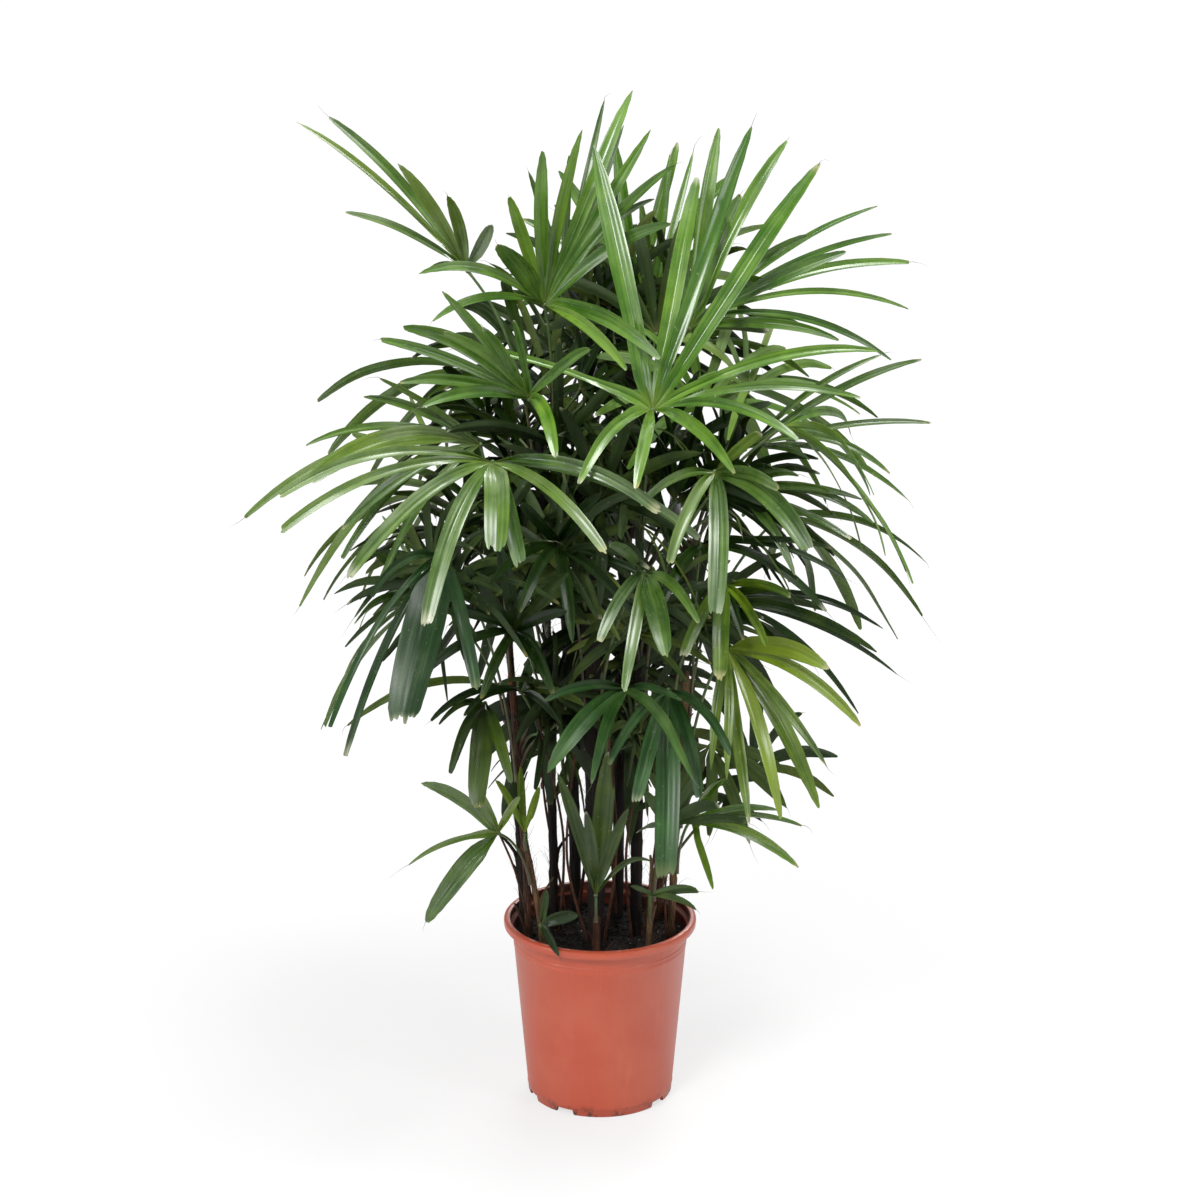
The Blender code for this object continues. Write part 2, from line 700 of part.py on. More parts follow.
def fan_axis(leaf):
    """Return the direction that the fan's upper face looks in."""
    return to_world(leaf, leaf.lean[0], -1.0, leaf.lean[1]).normalized()


class Blade:
    """One blade's midline and its sideways direction."""

    def __init__(self, leaf, blade, nudge):
        """Place the blade.

        Args:
            leaf: The leaf that the blade belongs to.
            blade: Its degrees, reach, width and arch.
            nudge: A shift towards the back in metres and a swing in degrees.
        """
        shift, swing = nudge
        degrees, reach, width, arch = blade
        angle = math.radians(degrees + swing)
        self.reach = reach / 1000
        self.width = width / 1000
        right, up = self.reach * math.cos(angle), self.reach * math.sin(angle)
        level = leaf.lean[0] * right + leaf.lean[1] * up
        hidden = math.sqrt(max((0.9 * leaf.length) ** 2 - self.reach**2, 0.0))
        self.hub = Vector(leaf.hub)
        self.tip = self.hub + to_world(leaf, right, level - REACH_TOWARDS * hidden + shift, up)
        axis = fan_axis(leaf)
        lift = (0.6 * axis + Vector((0, 0, 1))).normalized()
        chord = (self.tip - self.hub).length
        self.control = (self.hub + self.tip) / 2 + lift * (2 * arch / 100 * chord)
        self.flat = axis.cross(to_world(leaf, right, level, up)).normalized()
        self.roll = math.radians(14 * math.sin(degrees + reach))
        self.base = min(0.25, FAN_BASE / chord)
        self.sections = SECTIONS if self.reach > LONG_BLADE else SHORT_SECTIONS

    def point(self, along):
        """Return the midline's point at a share of its length."""
        rest = 1 - along
        return rest * rest * self.hub + 2 * along * rest * self.control + along * along * self.tip

    def side(self, along):
        """Return the unit vector across the blade."""
        tangent = (1 - along) * (self.control - self.hub) + along * (self.tip - self.control)
        tangent.normalize()
        across = (self.flat - tangent * self.flat.dot(tangent)).normalized()
        return Matrix.Rotation(self.roll * along, 3, tangent) @ across

    def face(self, along):
        """Return the unit vector out of the blade's upper face."""
        tangent = (1 - along) * (self.control - self.hub) + along * (self.tip - self.control)
        return tangent.cross(self.side(along)).normalized()

    def edges(self, along, width_share):
        """Return the right and left edge points at a share of the length."""
        half = self.side(along) * (self.width * width_share / 2)
        centre = self.point(along)
        return centre - half, centre + half

    def room(self, blades):
        """Return the share of the width that fits beside the neighbours at the first section."""
        along = self.sections[0][0]
        gaps = [(self.point(along) - other.point(along)).length for other in blades if other is not self]
        return 0.85 * min(gaps, default=1.0) / self.width

    def strip(self, clear_side, clear_face, whole=True):
        """Return the solid of the blade grown by the clearances, whole or from its first section on."""
        stations = [(0.0, 0.3), (self.base, 0.5), *self.sections] if whole else self.sections
        points = []
        for along, share in stations:
            thick = self.face(along) * (BLADE_THICKNESS / 2 + clear_face)
            grow = self.side(along) * clear_side
            right, left = self.edges(along, share)
            points += [right - grow - thick, left + grow - thick, left + grow + thick, right - grow + thick]
        return box_tube(points, len(stations))


def box_tube(points, count):
    """Return the solid of the closed tube through count rings of four points."""
    faces = [(0, 1, 2), (0, 2, 3)]
    last = 4 * (count - 1)
    faces += [(last, last + 2, last + 1), (last, last + 3, last + 2)]
    for ring in range(0, last, 4):
        for i in range(4):
            j = (i + 1) % 4
            faces.append((ring + i, ring + 4 + i, ring + 4 + j))
            faces.append((ring + i, ring + 4 + j, ring + j))
    return Solid(points, faces)


class Solid:
    """A shape kept for the search: its tree and its box."""

    def __init__(self, points, faces):
        """Keep the tree and the lowest and highest corners."""
        self.tree = BVHTree.FromPolygons(points, faces)
        self.low = [min(p[i] for p in points) for i in range(3)]
        self.high = [max(p[i] for p in points) for i in range(3)]

    def meets(self, other):
        """Return whether the two surfaces cross."""
        for i in range(3):
            if self.low[i] > other.high[i] or other.low[i] > self.high[i]:
                return False
        return bool(self.tree.overlap(other.tree))


def solid_of_mesh(mesh):
    """Return a mesh as a Solid."""
    mesh.calc_loop_triangles()
    faces = [tuple(triangle.vertices) for triangle in mesh.loop_triangles]
    return Solid([vert.co.copy() for vert in mesh.vertices], faces)


def free(solid, others):
    """Return whether a solid meets none of the others."""
    return not any(solid.meets(other) for other in others)


def petiole_line(leaf, nudge):
    """Return the petiole's points, from beside its cane to the fan's hub.

    Args:
        leaf: The leaf.
        nudge: A bow to the side in metres, a start turned about the cane in degrees, and a drop.
    """
    bow, swing, drop = nudge
    cane = CANES[leaf.cane]
    height = leaf.height + drop
    centre = cane_point(cane, height)
    along = (cane_point(cane, height + 0.02) - cane_point(cane, height - 0.02)).normalized()
    hub = Vector(leaf.hub)
    out = hub - centre
    out.z = 0.0
    out = Matrix.Rotation(math.radians(swing), 3, "Z") @ out.normalized()
    out = (out - along * out.dot(along)).normalized()
    start = centre + out * (cane.radius + PETIOLE_RADIUS + 0.0004)
    span = hub - start
    reach = span.length
    level = Vector((span.x, span.y, 0.0))
    arrive = (level + Vector((0, 0, 0.35 * reach))).normalized()
    sideways = span.cross(Vector((0, 0, 1))).normalized() * bow
    first = start + along * (0.38 * reach) + out * (0.02 * reach) + sideways
    second = hub - arrive * (0.30 * reach) + sideways
    line = []
    for i in range(PETIOLE_POINTS):
        t = i / (PETIOLE_POINTS - 1)
        rest = 1 - t
        line.append(rest**3 * start + 3 * rest * rest * t * first + 3 * rest * t * t * second + t**3 * hub)
    return line


def petiole_solid(line, grow):
    """Return a square tube around the petiole's points, grown by a clearance."""
    points = []
    half = PETIOLE_RADIUS + grow
    for i, place in enumerate(line):
        ahead = line[min(i + 1, len(line) - 1)] - line[max(i - 1, 0)]
        side = ahead.cross(Vector((0.31, 0.17, 0.11))).normalized()
        over = ahead.cross(side).normalized()
        points += [place - side * half - over * half, place + side * half - over * half]
        points += [place + side * half + over * half, place - side * half + over * half]
    return box_tube(points, len(line))


def order_blades(leaf):
    """Return the leaf's blades by angle, beginning after the widest gap."""
    blades = sorted(leaf.blades, key=lambda blade: blade[0])
    gaps = [(blades[(i + 1) % len(blades)][0] - blade[0]) % 360 for i, blade in enumerate(blades)]
    start = (gaps.index(max(gaps)) + 1) % len(blades)
    return blades[start:] + blades[:start]


def sheet_mesh(name, line, blades):
    """Return a leaf's sheet: a petiole three points wide, and blades joined near the hub.

    Args:
        name: The mesh's name.
        line: The petiole's points, the last of which is the hub.
        blades: The blades in order around the hub.
    """
    axis_side = (blades[0].side(0.0) + blades[-1].side(0.0)) / 2
    mean = sum((blade.point(blade.base) - blade.hub for blade in blades), Vector())
    across = blades[len(blades) // 2].face(0.0).cross(mean).normalized()
    if across.dot(axis_side) < 0:
        across = -across
    sides = []
    for index in range(len(line) - 1, -1, -1):
        tangent = (line[min(index + 1, len(line) - 1)] - line[max(index - 1, 0)]).normalized()
        across = (across - tangent * across.dot(tangent)).normalized()
        sides.insert(0, across * PETIOLE_RADIUS)
    verts = []
    for place, side in zip(line, sides):
        verts += [place - side, place, place + side]
    faces = []
    for first in range(0, 3 * (len(line) - 1), 3):
        faces += [(first, first + 3, first + 4, first + 1), (first + 1, first + 4, first + 5, first + 2)]
    stem_count = len(verts)
    hub_right, hub, hub_left = stem_count - 3, stem_count - 2, stem_count - 1
    verts.append(blades[0].edges(blades[0].base, 0.5)[0])
    for before, after in zip(blades, blades[1:]):
        middle = (before.point(before.base) + after.point(after.base)) / 2 - before.hub
        verts.append(before.hub + middle * min(1.0, 0.7 * FAN_BASE / max(middle.length, 0.001)))
    verts.append(blades[-1].edges(blades[-1].base, 0.5)[1])
    half = len(blades) // 2
    faces += [(hub_right, stem_count + half, hub), (hub, stem_count + half, hub_left)]
    for index, blade in enumerate(blades):
        right, left = stem_count + index, stem_count + index + 1
        faces.append((hub_right if index < half else hub_left, right, left))
        room = blade.room(blades[max(index - 1, 0) : index + 2])
        for along, share in blade.sections:
            if along == blade.sections[0][0]:
                share = min(share, room)
            next_right = len(verts)
            verts += blade.edges(along, share)
            faces.append((right, next_right, next_right + 1, left))
            right, left = next_right, next_right + 1
    mesh = bpy.data.meshes.new(name)
    mesh.from_pydata(verts, [], faces)
    return mesh, stem_count


def build_canes(parts, barks):
    """Build the canes and return their solids by name."""
    solids = {}
    for name, cane in CANES.items():
        mesh = tube(name, cane_line(cane), cane.radius, CANE_SIDES // 2 - 2, parts)
        add_object(name, mesh, parts, barks[cane.tone])
        solids[name] = solid_of_mesh(mesh)
    return solids


def seat_petiole(leaf, cane_solids, placed):
    """Return the first petiole line that meets nothing."""
    others = [solid for name, solid in cane_solids.items() if name != leaf.cane] + placed
    for nudge in PETIOLE_NUDGES:
        line = petiole_line(leaf, nudge)
        if not free(petiole_solid(line, 0.001), others):
            continue
        if free(petiole_solid(line[1:], 0.0002), [cane_solids[leaf.cane]]):
            return line
    raise ValueError(f"{leaf.name}: no free way for its petiole")


def place_blades(leaf, obstacles):
    """Return the leaf's blades, each in the first place where it meets nothing."""
    placed, own = [], []
    for blade in order_blades(leaf):
        for nudge in BLADE_NUDGES:
            trial = Blade(leaf, blade, nudge)
            if not free(trial.strip(CLEAR_SIDE, CLEAR_FACE), obstacles):
                continue
            if free(trial.strip(CLEAR_SIDE, CLEAR_FACE, whole=False), own):
                placed.append(trial)
                own.append(trial.strip(0.0, 0.0, whole=False))
                break
    return placed


def build_leaf(leaf, parts, material, cane_solids, placed):
    """Build one leaf, add its solids to those placed and return how many blades found no room."""
    line = seat_petiole(leaf, cane_solids, placed)
    own_stem = petiole_solid(line[:-1], 0.0)
    blades = place_blades(leaf, [*cane_solids.values(), *placed, own_stem])
    mesh, stem_count = sheet_mesh(leaf.name, line, blades)
    obj = add_object(leaf.name, mesh, parts, material)
    thick = obj.vertex_groups.new(name="thick")
    thick.add(list(range(1, stem_count, 3)), 1.0, "REPLACE")
    thick.add([i for i in range(stem_count) if i % 3 != 1], 0.25, "REPLACE")
    sheet = obj.modifiers.new("thickness", "SOLIDIFY")
    sheet.thickness = 2 * PETIOLE_RADIUS
    sheet.offset = 0.0
    sheet.vertex_group = "thick"
    sheet.thickness_vertex_group = BLADE_THICKNESS / sheet.thickness
    placed.append(petiole_solid(line, 0.0))
    placed += [blade.strip(0.0, 0.0) for blade in blades]
    return len(leaf.blades) - len(blades)


def main():
    """Build the pot, the soil, the canes and the leaves."""
    clear_scene()
    parts = make_collection(OBJECT_NAME)
    cutters = make_collection("cutters")
    pot = build_pot(parts, cutters, make_material("pot_plastic", (0.50, 0.115, 0.065), 0.42))
    build_soil(parts, cutters, make_material("potting_soil", (0.012, 0.009, 0.007), 0.95))
    barks = {tone: make_material(f"cane_{tone}", colour, 0.85) for tone, colour in CANE_TONES.items()}
    greens = {tone: make_material(f"leaf_{tone}", colour, 0.38) for tone, colour in LEAF_TONES.items()}
    cane_solids = build_canes(parts, barks)
    graph = bpy.context.evaluated_depsgraph_get()
    placed = [solid_of_mesh(pot.evaluated_get(graph).to_mesh())]
    left_out = sum(build_leaf(leaf, parts, greens[leaf.tone], cane_solids, placed) for leaf in LEAVES)
    print(f"{len(LEAVES)} leaves, {left_out} blades left out")


main()
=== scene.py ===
"""The looks of a potted lady palm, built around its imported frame.

The pot, the canes and every leaf are made again here in full detail over their frame nodes. The frame's soil
stays under a loose top layer. The plant has no moving parts, so every piece rides on the root body.
"""

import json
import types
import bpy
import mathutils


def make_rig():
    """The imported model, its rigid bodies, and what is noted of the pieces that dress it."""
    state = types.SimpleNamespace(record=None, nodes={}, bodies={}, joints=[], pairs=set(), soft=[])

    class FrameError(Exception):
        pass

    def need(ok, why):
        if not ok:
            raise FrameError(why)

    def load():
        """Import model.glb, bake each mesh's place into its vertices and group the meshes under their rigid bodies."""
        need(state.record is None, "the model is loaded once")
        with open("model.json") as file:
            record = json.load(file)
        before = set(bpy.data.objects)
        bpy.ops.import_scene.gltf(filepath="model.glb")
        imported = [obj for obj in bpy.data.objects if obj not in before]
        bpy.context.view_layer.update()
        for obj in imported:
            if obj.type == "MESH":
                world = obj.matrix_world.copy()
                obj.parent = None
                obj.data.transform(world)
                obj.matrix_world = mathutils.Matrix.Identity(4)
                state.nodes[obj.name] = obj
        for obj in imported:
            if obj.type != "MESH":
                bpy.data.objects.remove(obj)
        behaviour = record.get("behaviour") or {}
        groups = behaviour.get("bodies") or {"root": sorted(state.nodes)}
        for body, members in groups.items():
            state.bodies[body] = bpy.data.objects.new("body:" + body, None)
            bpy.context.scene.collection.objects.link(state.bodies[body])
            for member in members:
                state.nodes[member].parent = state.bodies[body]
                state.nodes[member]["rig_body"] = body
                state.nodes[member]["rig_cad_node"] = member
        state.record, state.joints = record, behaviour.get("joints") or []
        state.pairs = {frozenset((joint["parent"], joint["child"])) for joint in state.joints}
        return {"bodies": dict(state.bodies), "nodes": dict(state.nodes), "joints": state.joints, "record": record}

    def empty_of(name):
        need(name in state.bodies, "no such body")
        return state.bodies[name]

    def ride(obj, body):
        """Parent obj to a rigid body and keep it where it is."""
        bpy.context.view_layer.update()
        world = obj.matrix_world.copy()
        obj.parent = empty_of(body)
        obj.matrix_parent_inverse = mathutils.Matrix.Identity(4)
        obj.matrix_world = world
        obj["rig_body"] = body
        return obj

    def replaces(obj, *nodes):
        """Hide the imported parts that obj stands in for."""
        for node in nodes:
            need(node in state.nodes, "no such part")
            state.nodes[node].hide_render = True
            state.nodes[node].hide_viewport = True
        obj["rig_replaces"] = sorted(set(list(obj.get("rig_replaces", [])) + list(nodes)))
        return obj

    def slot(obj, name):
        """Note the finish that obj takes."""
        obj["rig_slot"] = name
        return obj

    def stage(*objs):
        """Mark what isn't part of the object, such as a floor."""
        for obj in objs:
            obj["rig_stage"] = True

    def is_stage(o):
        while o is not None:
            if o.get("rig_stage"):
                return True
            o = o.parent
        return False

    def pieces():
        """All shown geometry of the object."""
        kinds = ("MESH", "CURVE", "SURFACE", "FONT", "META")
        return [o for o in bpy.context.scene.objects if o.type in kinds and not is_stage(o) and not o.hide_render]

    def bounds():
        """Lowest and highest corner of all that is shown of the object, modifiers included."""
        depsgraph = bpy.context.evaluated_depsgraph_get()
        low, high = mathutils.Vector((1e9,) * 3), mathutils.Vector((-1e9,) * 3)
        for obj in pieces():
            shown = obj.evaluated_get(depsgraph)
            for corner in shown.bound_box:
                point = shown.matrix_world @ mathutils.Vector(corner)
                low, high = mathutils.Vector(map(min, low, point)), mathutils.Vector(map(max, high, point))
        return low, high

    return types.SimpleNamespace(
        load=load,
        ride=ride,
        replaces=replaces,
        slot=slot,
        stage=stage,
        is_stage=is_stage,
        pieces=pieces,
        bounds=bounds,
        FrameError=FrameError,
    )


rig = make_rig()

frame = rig.load()
cad_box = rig.bounds()

import json
import logging
import math
import random
from collections.abc import Callable, Iterator, Sequence
from contextlib import contextmanager
from dataclasses import dataclass, field, replace
from enum import Enum

import bmesh
import bpy
import numpy as np
from mathutils import Matrix, Vector

logging.basicConfig(level=logging.INFO, format="%(message)s")
log = logging.getLogger("lady_palm")

Point = tuple[float, float, float]
Colour = tuple[float, float, float]
Radius = Callable[[float, float], float]
Shape = bpy.types.Object
Material = bpy.types.Material
Tree = bpy.types.NodeTree
Socket = bpy.types.NodeSocket

BODY = "root"
SEED = 17
FULL_TURN = 6.28  # about once round, in radians
WHITE = (1.0, 1.0, 1.0)
UP = Vector((0, 0, 1))


# ---------------------------------------------------------------- helpers


def activate(*objs: Shape) -> None:
    """Select these objects alone, the first of them active."""
    bpy.ops.object.select_all(action="DESELECT")
    for obj in objs:
        obj.select_set(True)
    bpy.context.view_layer.objects.active = objs[0] if objs else None


@contextmanager
def edit_mode() -> Iterator[None]:
    """Work on the active object in edit mode."""
    bpy.ops.object.mode_set(mode="EDIT")
    yield
    bpy.ops.object.mode_set(mode="OBJECT")


def settle(obj: Shape, whole: bool = True) -> None:
    """Bring an object's scale into its mesh, and its place and turn too if the whole of it is to settle."""
    activate(obj)
    bpy.ops.object.transform_apply(location=whole, rotation=whole, scale=True)


def new_primitive(add: Callable[..., object], name: str, **sizes: object) -> Shape:
    """Add a primitive, name it and settle it at the origin.

    Args:
        add: The operator that adds it.
        name: The object's name.
        sizes: The operator's settings.

    Returns:
        The new object, selected alone.
    """
    activate()
    add(**sizes)
    obj = bpy.context.active_object
    obj.name = obj.data.name = name
    settle(obj)
    return obj


def select_points(obj: Shape, test: Callable[[Vector], bool]) -> None:
    """Select, in edit mode, some points and the edges and faces between them.

    Args:
        obj: The object that is being edited.
        test: Says whether a point is selected.
    """
    shape = bmesh.from_edit_mesh(obj.data)
    for vert in shape.verts:
        vert.select_set(False)
    shape.select_flush(False)
    for vert in shape.verts:
        if test(vert.co):
            vert.select_set(True)
    shape.select_flush(True)
    bmesh.update_edit_mesh(obj.data)


def apply_modifier(obj: Shape, kind: str, **settings: object) -> None:
    """Add a modifier and apply it.

    Args:
        obj: The object.
        kind: The modifier's type.
        settings: Values of its properties.
    """
    activate(obj)
    modifier = obj.modifiers.new(kind.lower(), kind)
    for name, value in settings.items():
        setattr(modifier, name, value)
    bpy.ops.object.modifier_apply(modifier=modifier.name)


def join(name: str, objs: Sequence[Shape]) -> Shape:
    """Join objects into one.

    Args:
        name: The joined object's name.
        objs: The objects, of which the first takes in the others.

    Returns:
        The joined object.
    """
    activate(*objs)
    if len(objs) > 1:
        bpy.ops.object.join()
    joined = bpy.context.active_object
    joined.name = joined.data.name = name
    return joined


def copy_of(master: Shape, name: str) -> Shape:
    """Copy a master shape and its mesh.

    Args:
        master: The master shape.
        name: The copy's name.

    Returns:
        The copy.
    """
    obj = master.copy()
    obj.data = master.data.copy()
    obj.name = name
    bpy.context.collection.objects.link(obj)
    return obj


def remove(*objs: Shape) -> None:
    """Remove objects that were only models or cutters."""
    for obj in objs:
        bpy.data.objects.remove(obj, do_unlink=True)


def dress(obj: Shape, *materials: Material) -> None:
    """Give a piece its materials in place of any that it has."""
    obj.data.materials.clear()
    for material in materials:
        obj.data.materials.append(material)


def hand_over(obj: Shape, slot: str, degrees: float, *nodes: str) -> None:
    """Shade a finished piece smooth and let it ride on the plant.

    Args:
        obj: The piece.
        slot: Its material slot.
        degrees: The angle past which its edges stay sharp.
        nodes: The frame nodes that it stands for.
    """
    activate(obj)
    bpy.ops.object.shade_smooth_by_angle(angle=math.radians(degrees))
    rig.ride(obj, BODY)
    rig.slot(obj, slot)
    if nodes:
        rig.replaces(obj, *nodes)
    log.info("%s: %d faces, slot %s", obj.name, len(obj.data.polygons), slot)


def eased(value: float, low: float, high: float) -> float:
    """Return how far a value is from low to high, from 0 to 1 with soft ends."""
    part = min(1.0, max(0.0, (value - low) / (high - low)))
    return part * part * (3 - 2 * part)


# ---------------------------------------------------------------- shader groups


class Nodes:
    """A short way to write a node tree that ends in one node."""

    def __init__(self, tree: Tree, end: bpy.types.Node) -> None:
        """Keep the tree and the node that it ends in."""
        self.tree = tree
        self.end = end

    def fill(self, node: bpy.types.Node, inputs: dict[str, object]) -> None:
        """Link sockets to a node's inputs, or set values on them.

        Args:
            node: The node.
            inputs: Values or sockets by the input's name, with spaces as underscores, or by in_ and its number.
        """
        for name, value in inputs.items():
            socket = node.inputs[int(name[3:]) if name.startswith("in_") else name.replace("_", " ")]
            if isinstance(value, Socket):
                self.tree.links.new(value, socket)
            else:
                socket.default_value = (*value, 1.0) if socket.type == "RGBA" else value

    def send(self, **inputs: object) -> None:
        """Link sockets to the inputs of the tree's end, or set values on them."""
        self.fill(self.end, inputs)

    def add(self, kind: str, settings: dict | None = None, **inputs: object) -> bpy.types.Node:
        """Add a node.

        Args:
            kind: The node's type, without ShaderNode.
            settings: Values of the node's own properties.
            inputs: Values or sockets of its inputs, as fill takes them.

        Returns:
            The node.
        """
        node = self.tree.nodes.new("ShaderNode" + kind)
        for name, value in (settings or {}).items():
            setattr(node, name, value)
        self.fill(node, inputs)
        return node

    def maths(self, operation: str, first: object, second: object = 0.0, third: object = 0.0) -> Socket:
        """Return the result of a Math node."""
        return self.add("Math", {"operation": operation}, in_0=first, in_1=second, in_2=third).outputs[0]

    def times(self, first: object, second: object, plus: object = None) -> Socket:
        """Return the product of two values, with a third added to it if there is one."""
        if plus is None:
            return self.maths("MULTIPLY", first, second)
        return self.maths("MULTIPLY_ADD", first, second, plus)

    def most(self, first: object, second: object) -> Socket:
        """Return the greater of two values."""
        return self.maths("MAXIMUM", first, second)

    def ramp(self, value: object, low: float, high: float, start: float = 0.0, end: float = 1.0) -> Socket:
        """Return a smooth step of a value, from start at low to end at high."""
        ends = {"From_Min": low, "From_Max": high, "To_Min": start, "To_Max": end}
        return self.add("MapRange", {"interpolation_type": "SMOOTHSTEP"}, Value=value, **ends).outputs[0]

    def mix(self, share: object, first: object, second: object) -> Socket:
        """Return a mix of two colours."""
        return self.add("Mix", {"data_type": "RGBA"}, in_0=share, in_6=first, in_7=second).outputs[2]

    def noise(self, vector: object, scale: float, detail: float = 3.0, roughness: float = 0.55) -> Socket:
        """Return the value of a Noise texture."""
        return self.add("TexNoise", None, Vector=vector, Scale=scale, Detail=detail, Roughness=roughness).outputs[0]

    def drawn_out(self, vector: object, scale: Point, detail: float = 3.0, roughness: float = 0.55) -> Socket:
        """Return the value of a Noise texture that has a scale of its own along each axis."""
        vector = self.add("Mapping", None, Vector=vector, Scale=scale).outputs[0]
        return self.noise(vector, 1.0, detail, roughness)

    def uv(self) -> Socket:
        """Return the piece's own UV coordinates."""
        return self.add("UVMap", {"uv_map": "UVMap"}).outputs[0]

    def place(self) -> Socket:
        """Return the piece's own coordinates in metres."""
        return self.add("TexCoord").outputs["Object"]

    def split(self, vector: object) -> list[Socket]:
        """Return the three numbers of a vector."""
        return list(self.add("SeparateXYZ", None, Vector=vector).outputs)

    def length(self, vector: object) -> Socket:
        """Return a vector's length."""
        return self.add("VectorMath", {"operation": "LENGTH"}, in_0=vector).outputs["Value"]

    def group(self, name: str, build: Callable[[str], Tree], **inputs: object) -> bpy.types.NodeOutputs:
        """Return the outputs of a shader group, built at its first use.

        Args:
            name: The group's name.
            build: Builds the group.
            inputs: Values of its inputs.
        """
        tree = bpy.data.node_groups.get(name) or build(name)
        return self.add("Group", {"node_tree": tree}, **inputs).outputs


def new_group(
    name: str, inputs: dict[str, object], colour: bool = True, outputs: Sequence[str] = ("Roughness", "Height")
) -> tuple[Nodes, bpy.types.NodeOutputs]:
    """Start a shader group.

    Args:
        name: The group's name.
        inputs: Each input's default: a number or a colour.
        colour: Whether it gives a colour.
        outputs: The names of the values that it gives.

    Returns:
        The node writer, which ends in the group's outputs, and the sockets of the group's inputs.
    """
    tree = bpy.data.node_groups.new(name, "ShaderNodeTree")
    for key, value in inputs.items():
        tinted = isinstance(value, tuple)
        kind = "NodeSocketColor" if tinted else "NodeSocketFloat"
        socket = tree.interface.new_socket(key, in_out="INPUT", socket_type=kind)
        socket.default_value = (*value, 1.0) if tinted else value
    if colour:
        tree.interface.new_socket("Color", in_out="OUTPUT", socket_type="NodeSocketColor")
    for key in outputs:
        tree.interface.new_socket(key, in_out="OUTPUT", socket_type="NodeSocketFloat")
    given = tree.nodes.new("NodeGroupInput").outputs
    return Nodes(tree, tree.nodes.new("NodeGroupOutput")), given


def build_blade_group(name: str) -> Tree:
    """Build the leaf blade's surface: ribs with painted shade in their furrows, streaks, a pale waxy film that is
    partly painted sheen, a pale base and a withered tip.
    """
    colours = {"Deep": (0.02, 0.06, 0.01), "Light": (0.1, 0.2, 0.04), "Tip": (0.2, 0.16, 0.05)}
    nodes, given = new_group(name, {**colours, "Bloom": 0.1, "Roughness": 0.35})
    times, ramp, mix = nodes.times, nodes.ramp, nodes.mix
    deep, light = given["Deep"], given["Light"]
    uv, place = nodes.uv(), nodes.place()
    tone = nodes.add("Attribute", {"attribute_name": "blade_tone"}).outputs["Fac"]
    across, along, _ = nodes.split(uv)
    aside = nodes.add("CombineXYZ", None, Z=tone).outputs[0]
    shifted = nodes.add("VectorMath", {"operation": "ADD"}, in_0=uv, in_1=aside).outputs[0]
    streaks = nodes.drawn_out(shifted, (1.5, 1.5, 40.0))
    fine = nodes.drawn_out(shifted, (5.0, 3.0, 40.0), 2.0)
    patches = nodes.noise(place, 26.0)

    # Streaks and patches between the two greens, with painted shade along the ribs' furrows and a paler line along
    # their crests
    lightness = times(streaks, 0.85, times(patches, 0.8, -0.43))
    lightness = times(fine, 0.18, times(tone, 0.34, lightness))
    colour = mix(ramp(lightness, 0.1, 0.95), deep, light)
    rib = nodes.maths("ABSOLUTE", times(nodes.maths("FRACT", across), 2.0, -1.0))
    # Painted shade: each rib's furrow is darkened towards the deep green
    colour = mix(ramp(rib, 0.82, 1.0, 0.0, 0.30), colour, deep)
    colour = mix(ramp(rib, 0.0, 0.22, 0.22, 0.0), colour, light)

    # Yellowed parts, a pale waxy film that is partly painted sheen, a pale base and pale specks
    yellowed = ramp(times(patches, 0.6, tone), 0.45, 1.1, 0.0, 0.45)
    colour = mix(yellowed, colour, mix(0.55, light, (0.20, 0.24, 0.02)))
    # Partly painted sheen: pale streaks that are real wax and also stand for reflected light
    waxy = times(ramp(nodes.noise(place, 11.0), 0.40, 0.66), ramp(streaks, 0.38, 0.62, 0.35, 1.0))
    colour = mix(times(waxy, given["Bloom"]), colour, (0.28, 0.34, 0.22))
    colour = mix(ramp(along, 0.0, 0.14, 0.5, 0.0), colour, mix(0.5, light, (0.24, 0.26, 0.07)))
    specks = ramp(nodes.noise(place, 190.0, 2.0), 0.67, 0.74, 0.0, 0.30)
    colour = mix(specks, colour, mix(0.6, light, (0.34, 0.36, 0.20)))

    # The withered tip starts at another place on each blade and is burnt at its very end
    own = nodes.maths("FRACT", times(tone, 17.3, 40.0))
    ragged = times(own, 0.09, nodes.maths("SUBTRACT", times(streaks, 0.07, along), 0.065))
    fade = ramp(ragged, 0.985, 1.055, 0.0, 0.85)
    withered = mix(ramp(nodes.noise(place, 7.0), 0.45, 0.6), given["Tip"], (0.40, 0.42, 0.30))
    burnt = ramp(times(fine, 0.03, ragged), 1.062, 1.075, 0.0, 0.85)
    colour = mix(burnt, mix(fade, colour, withered), (0.045, 0.030, 0.015))

    dull = times(streaks, 0.34, times(patches, 0.22, given["Roughness"]))
    dull = times(fade, 0.20, nodes.maths("SUBTRACT", dull, 0.27))
    dull = nodes.maths("ADD", dull, ramp(along, 0.55, 1.0, 0.0, 0.12))
    height = times(patches, 1.5, times(streaks, ramp(along, 0.35, 0.85, 1.0, 0.0)))
    nodes.send(Color=colour, Roughness=nodes.most(dull, 0.20), Height=height)
    return nodes.tree


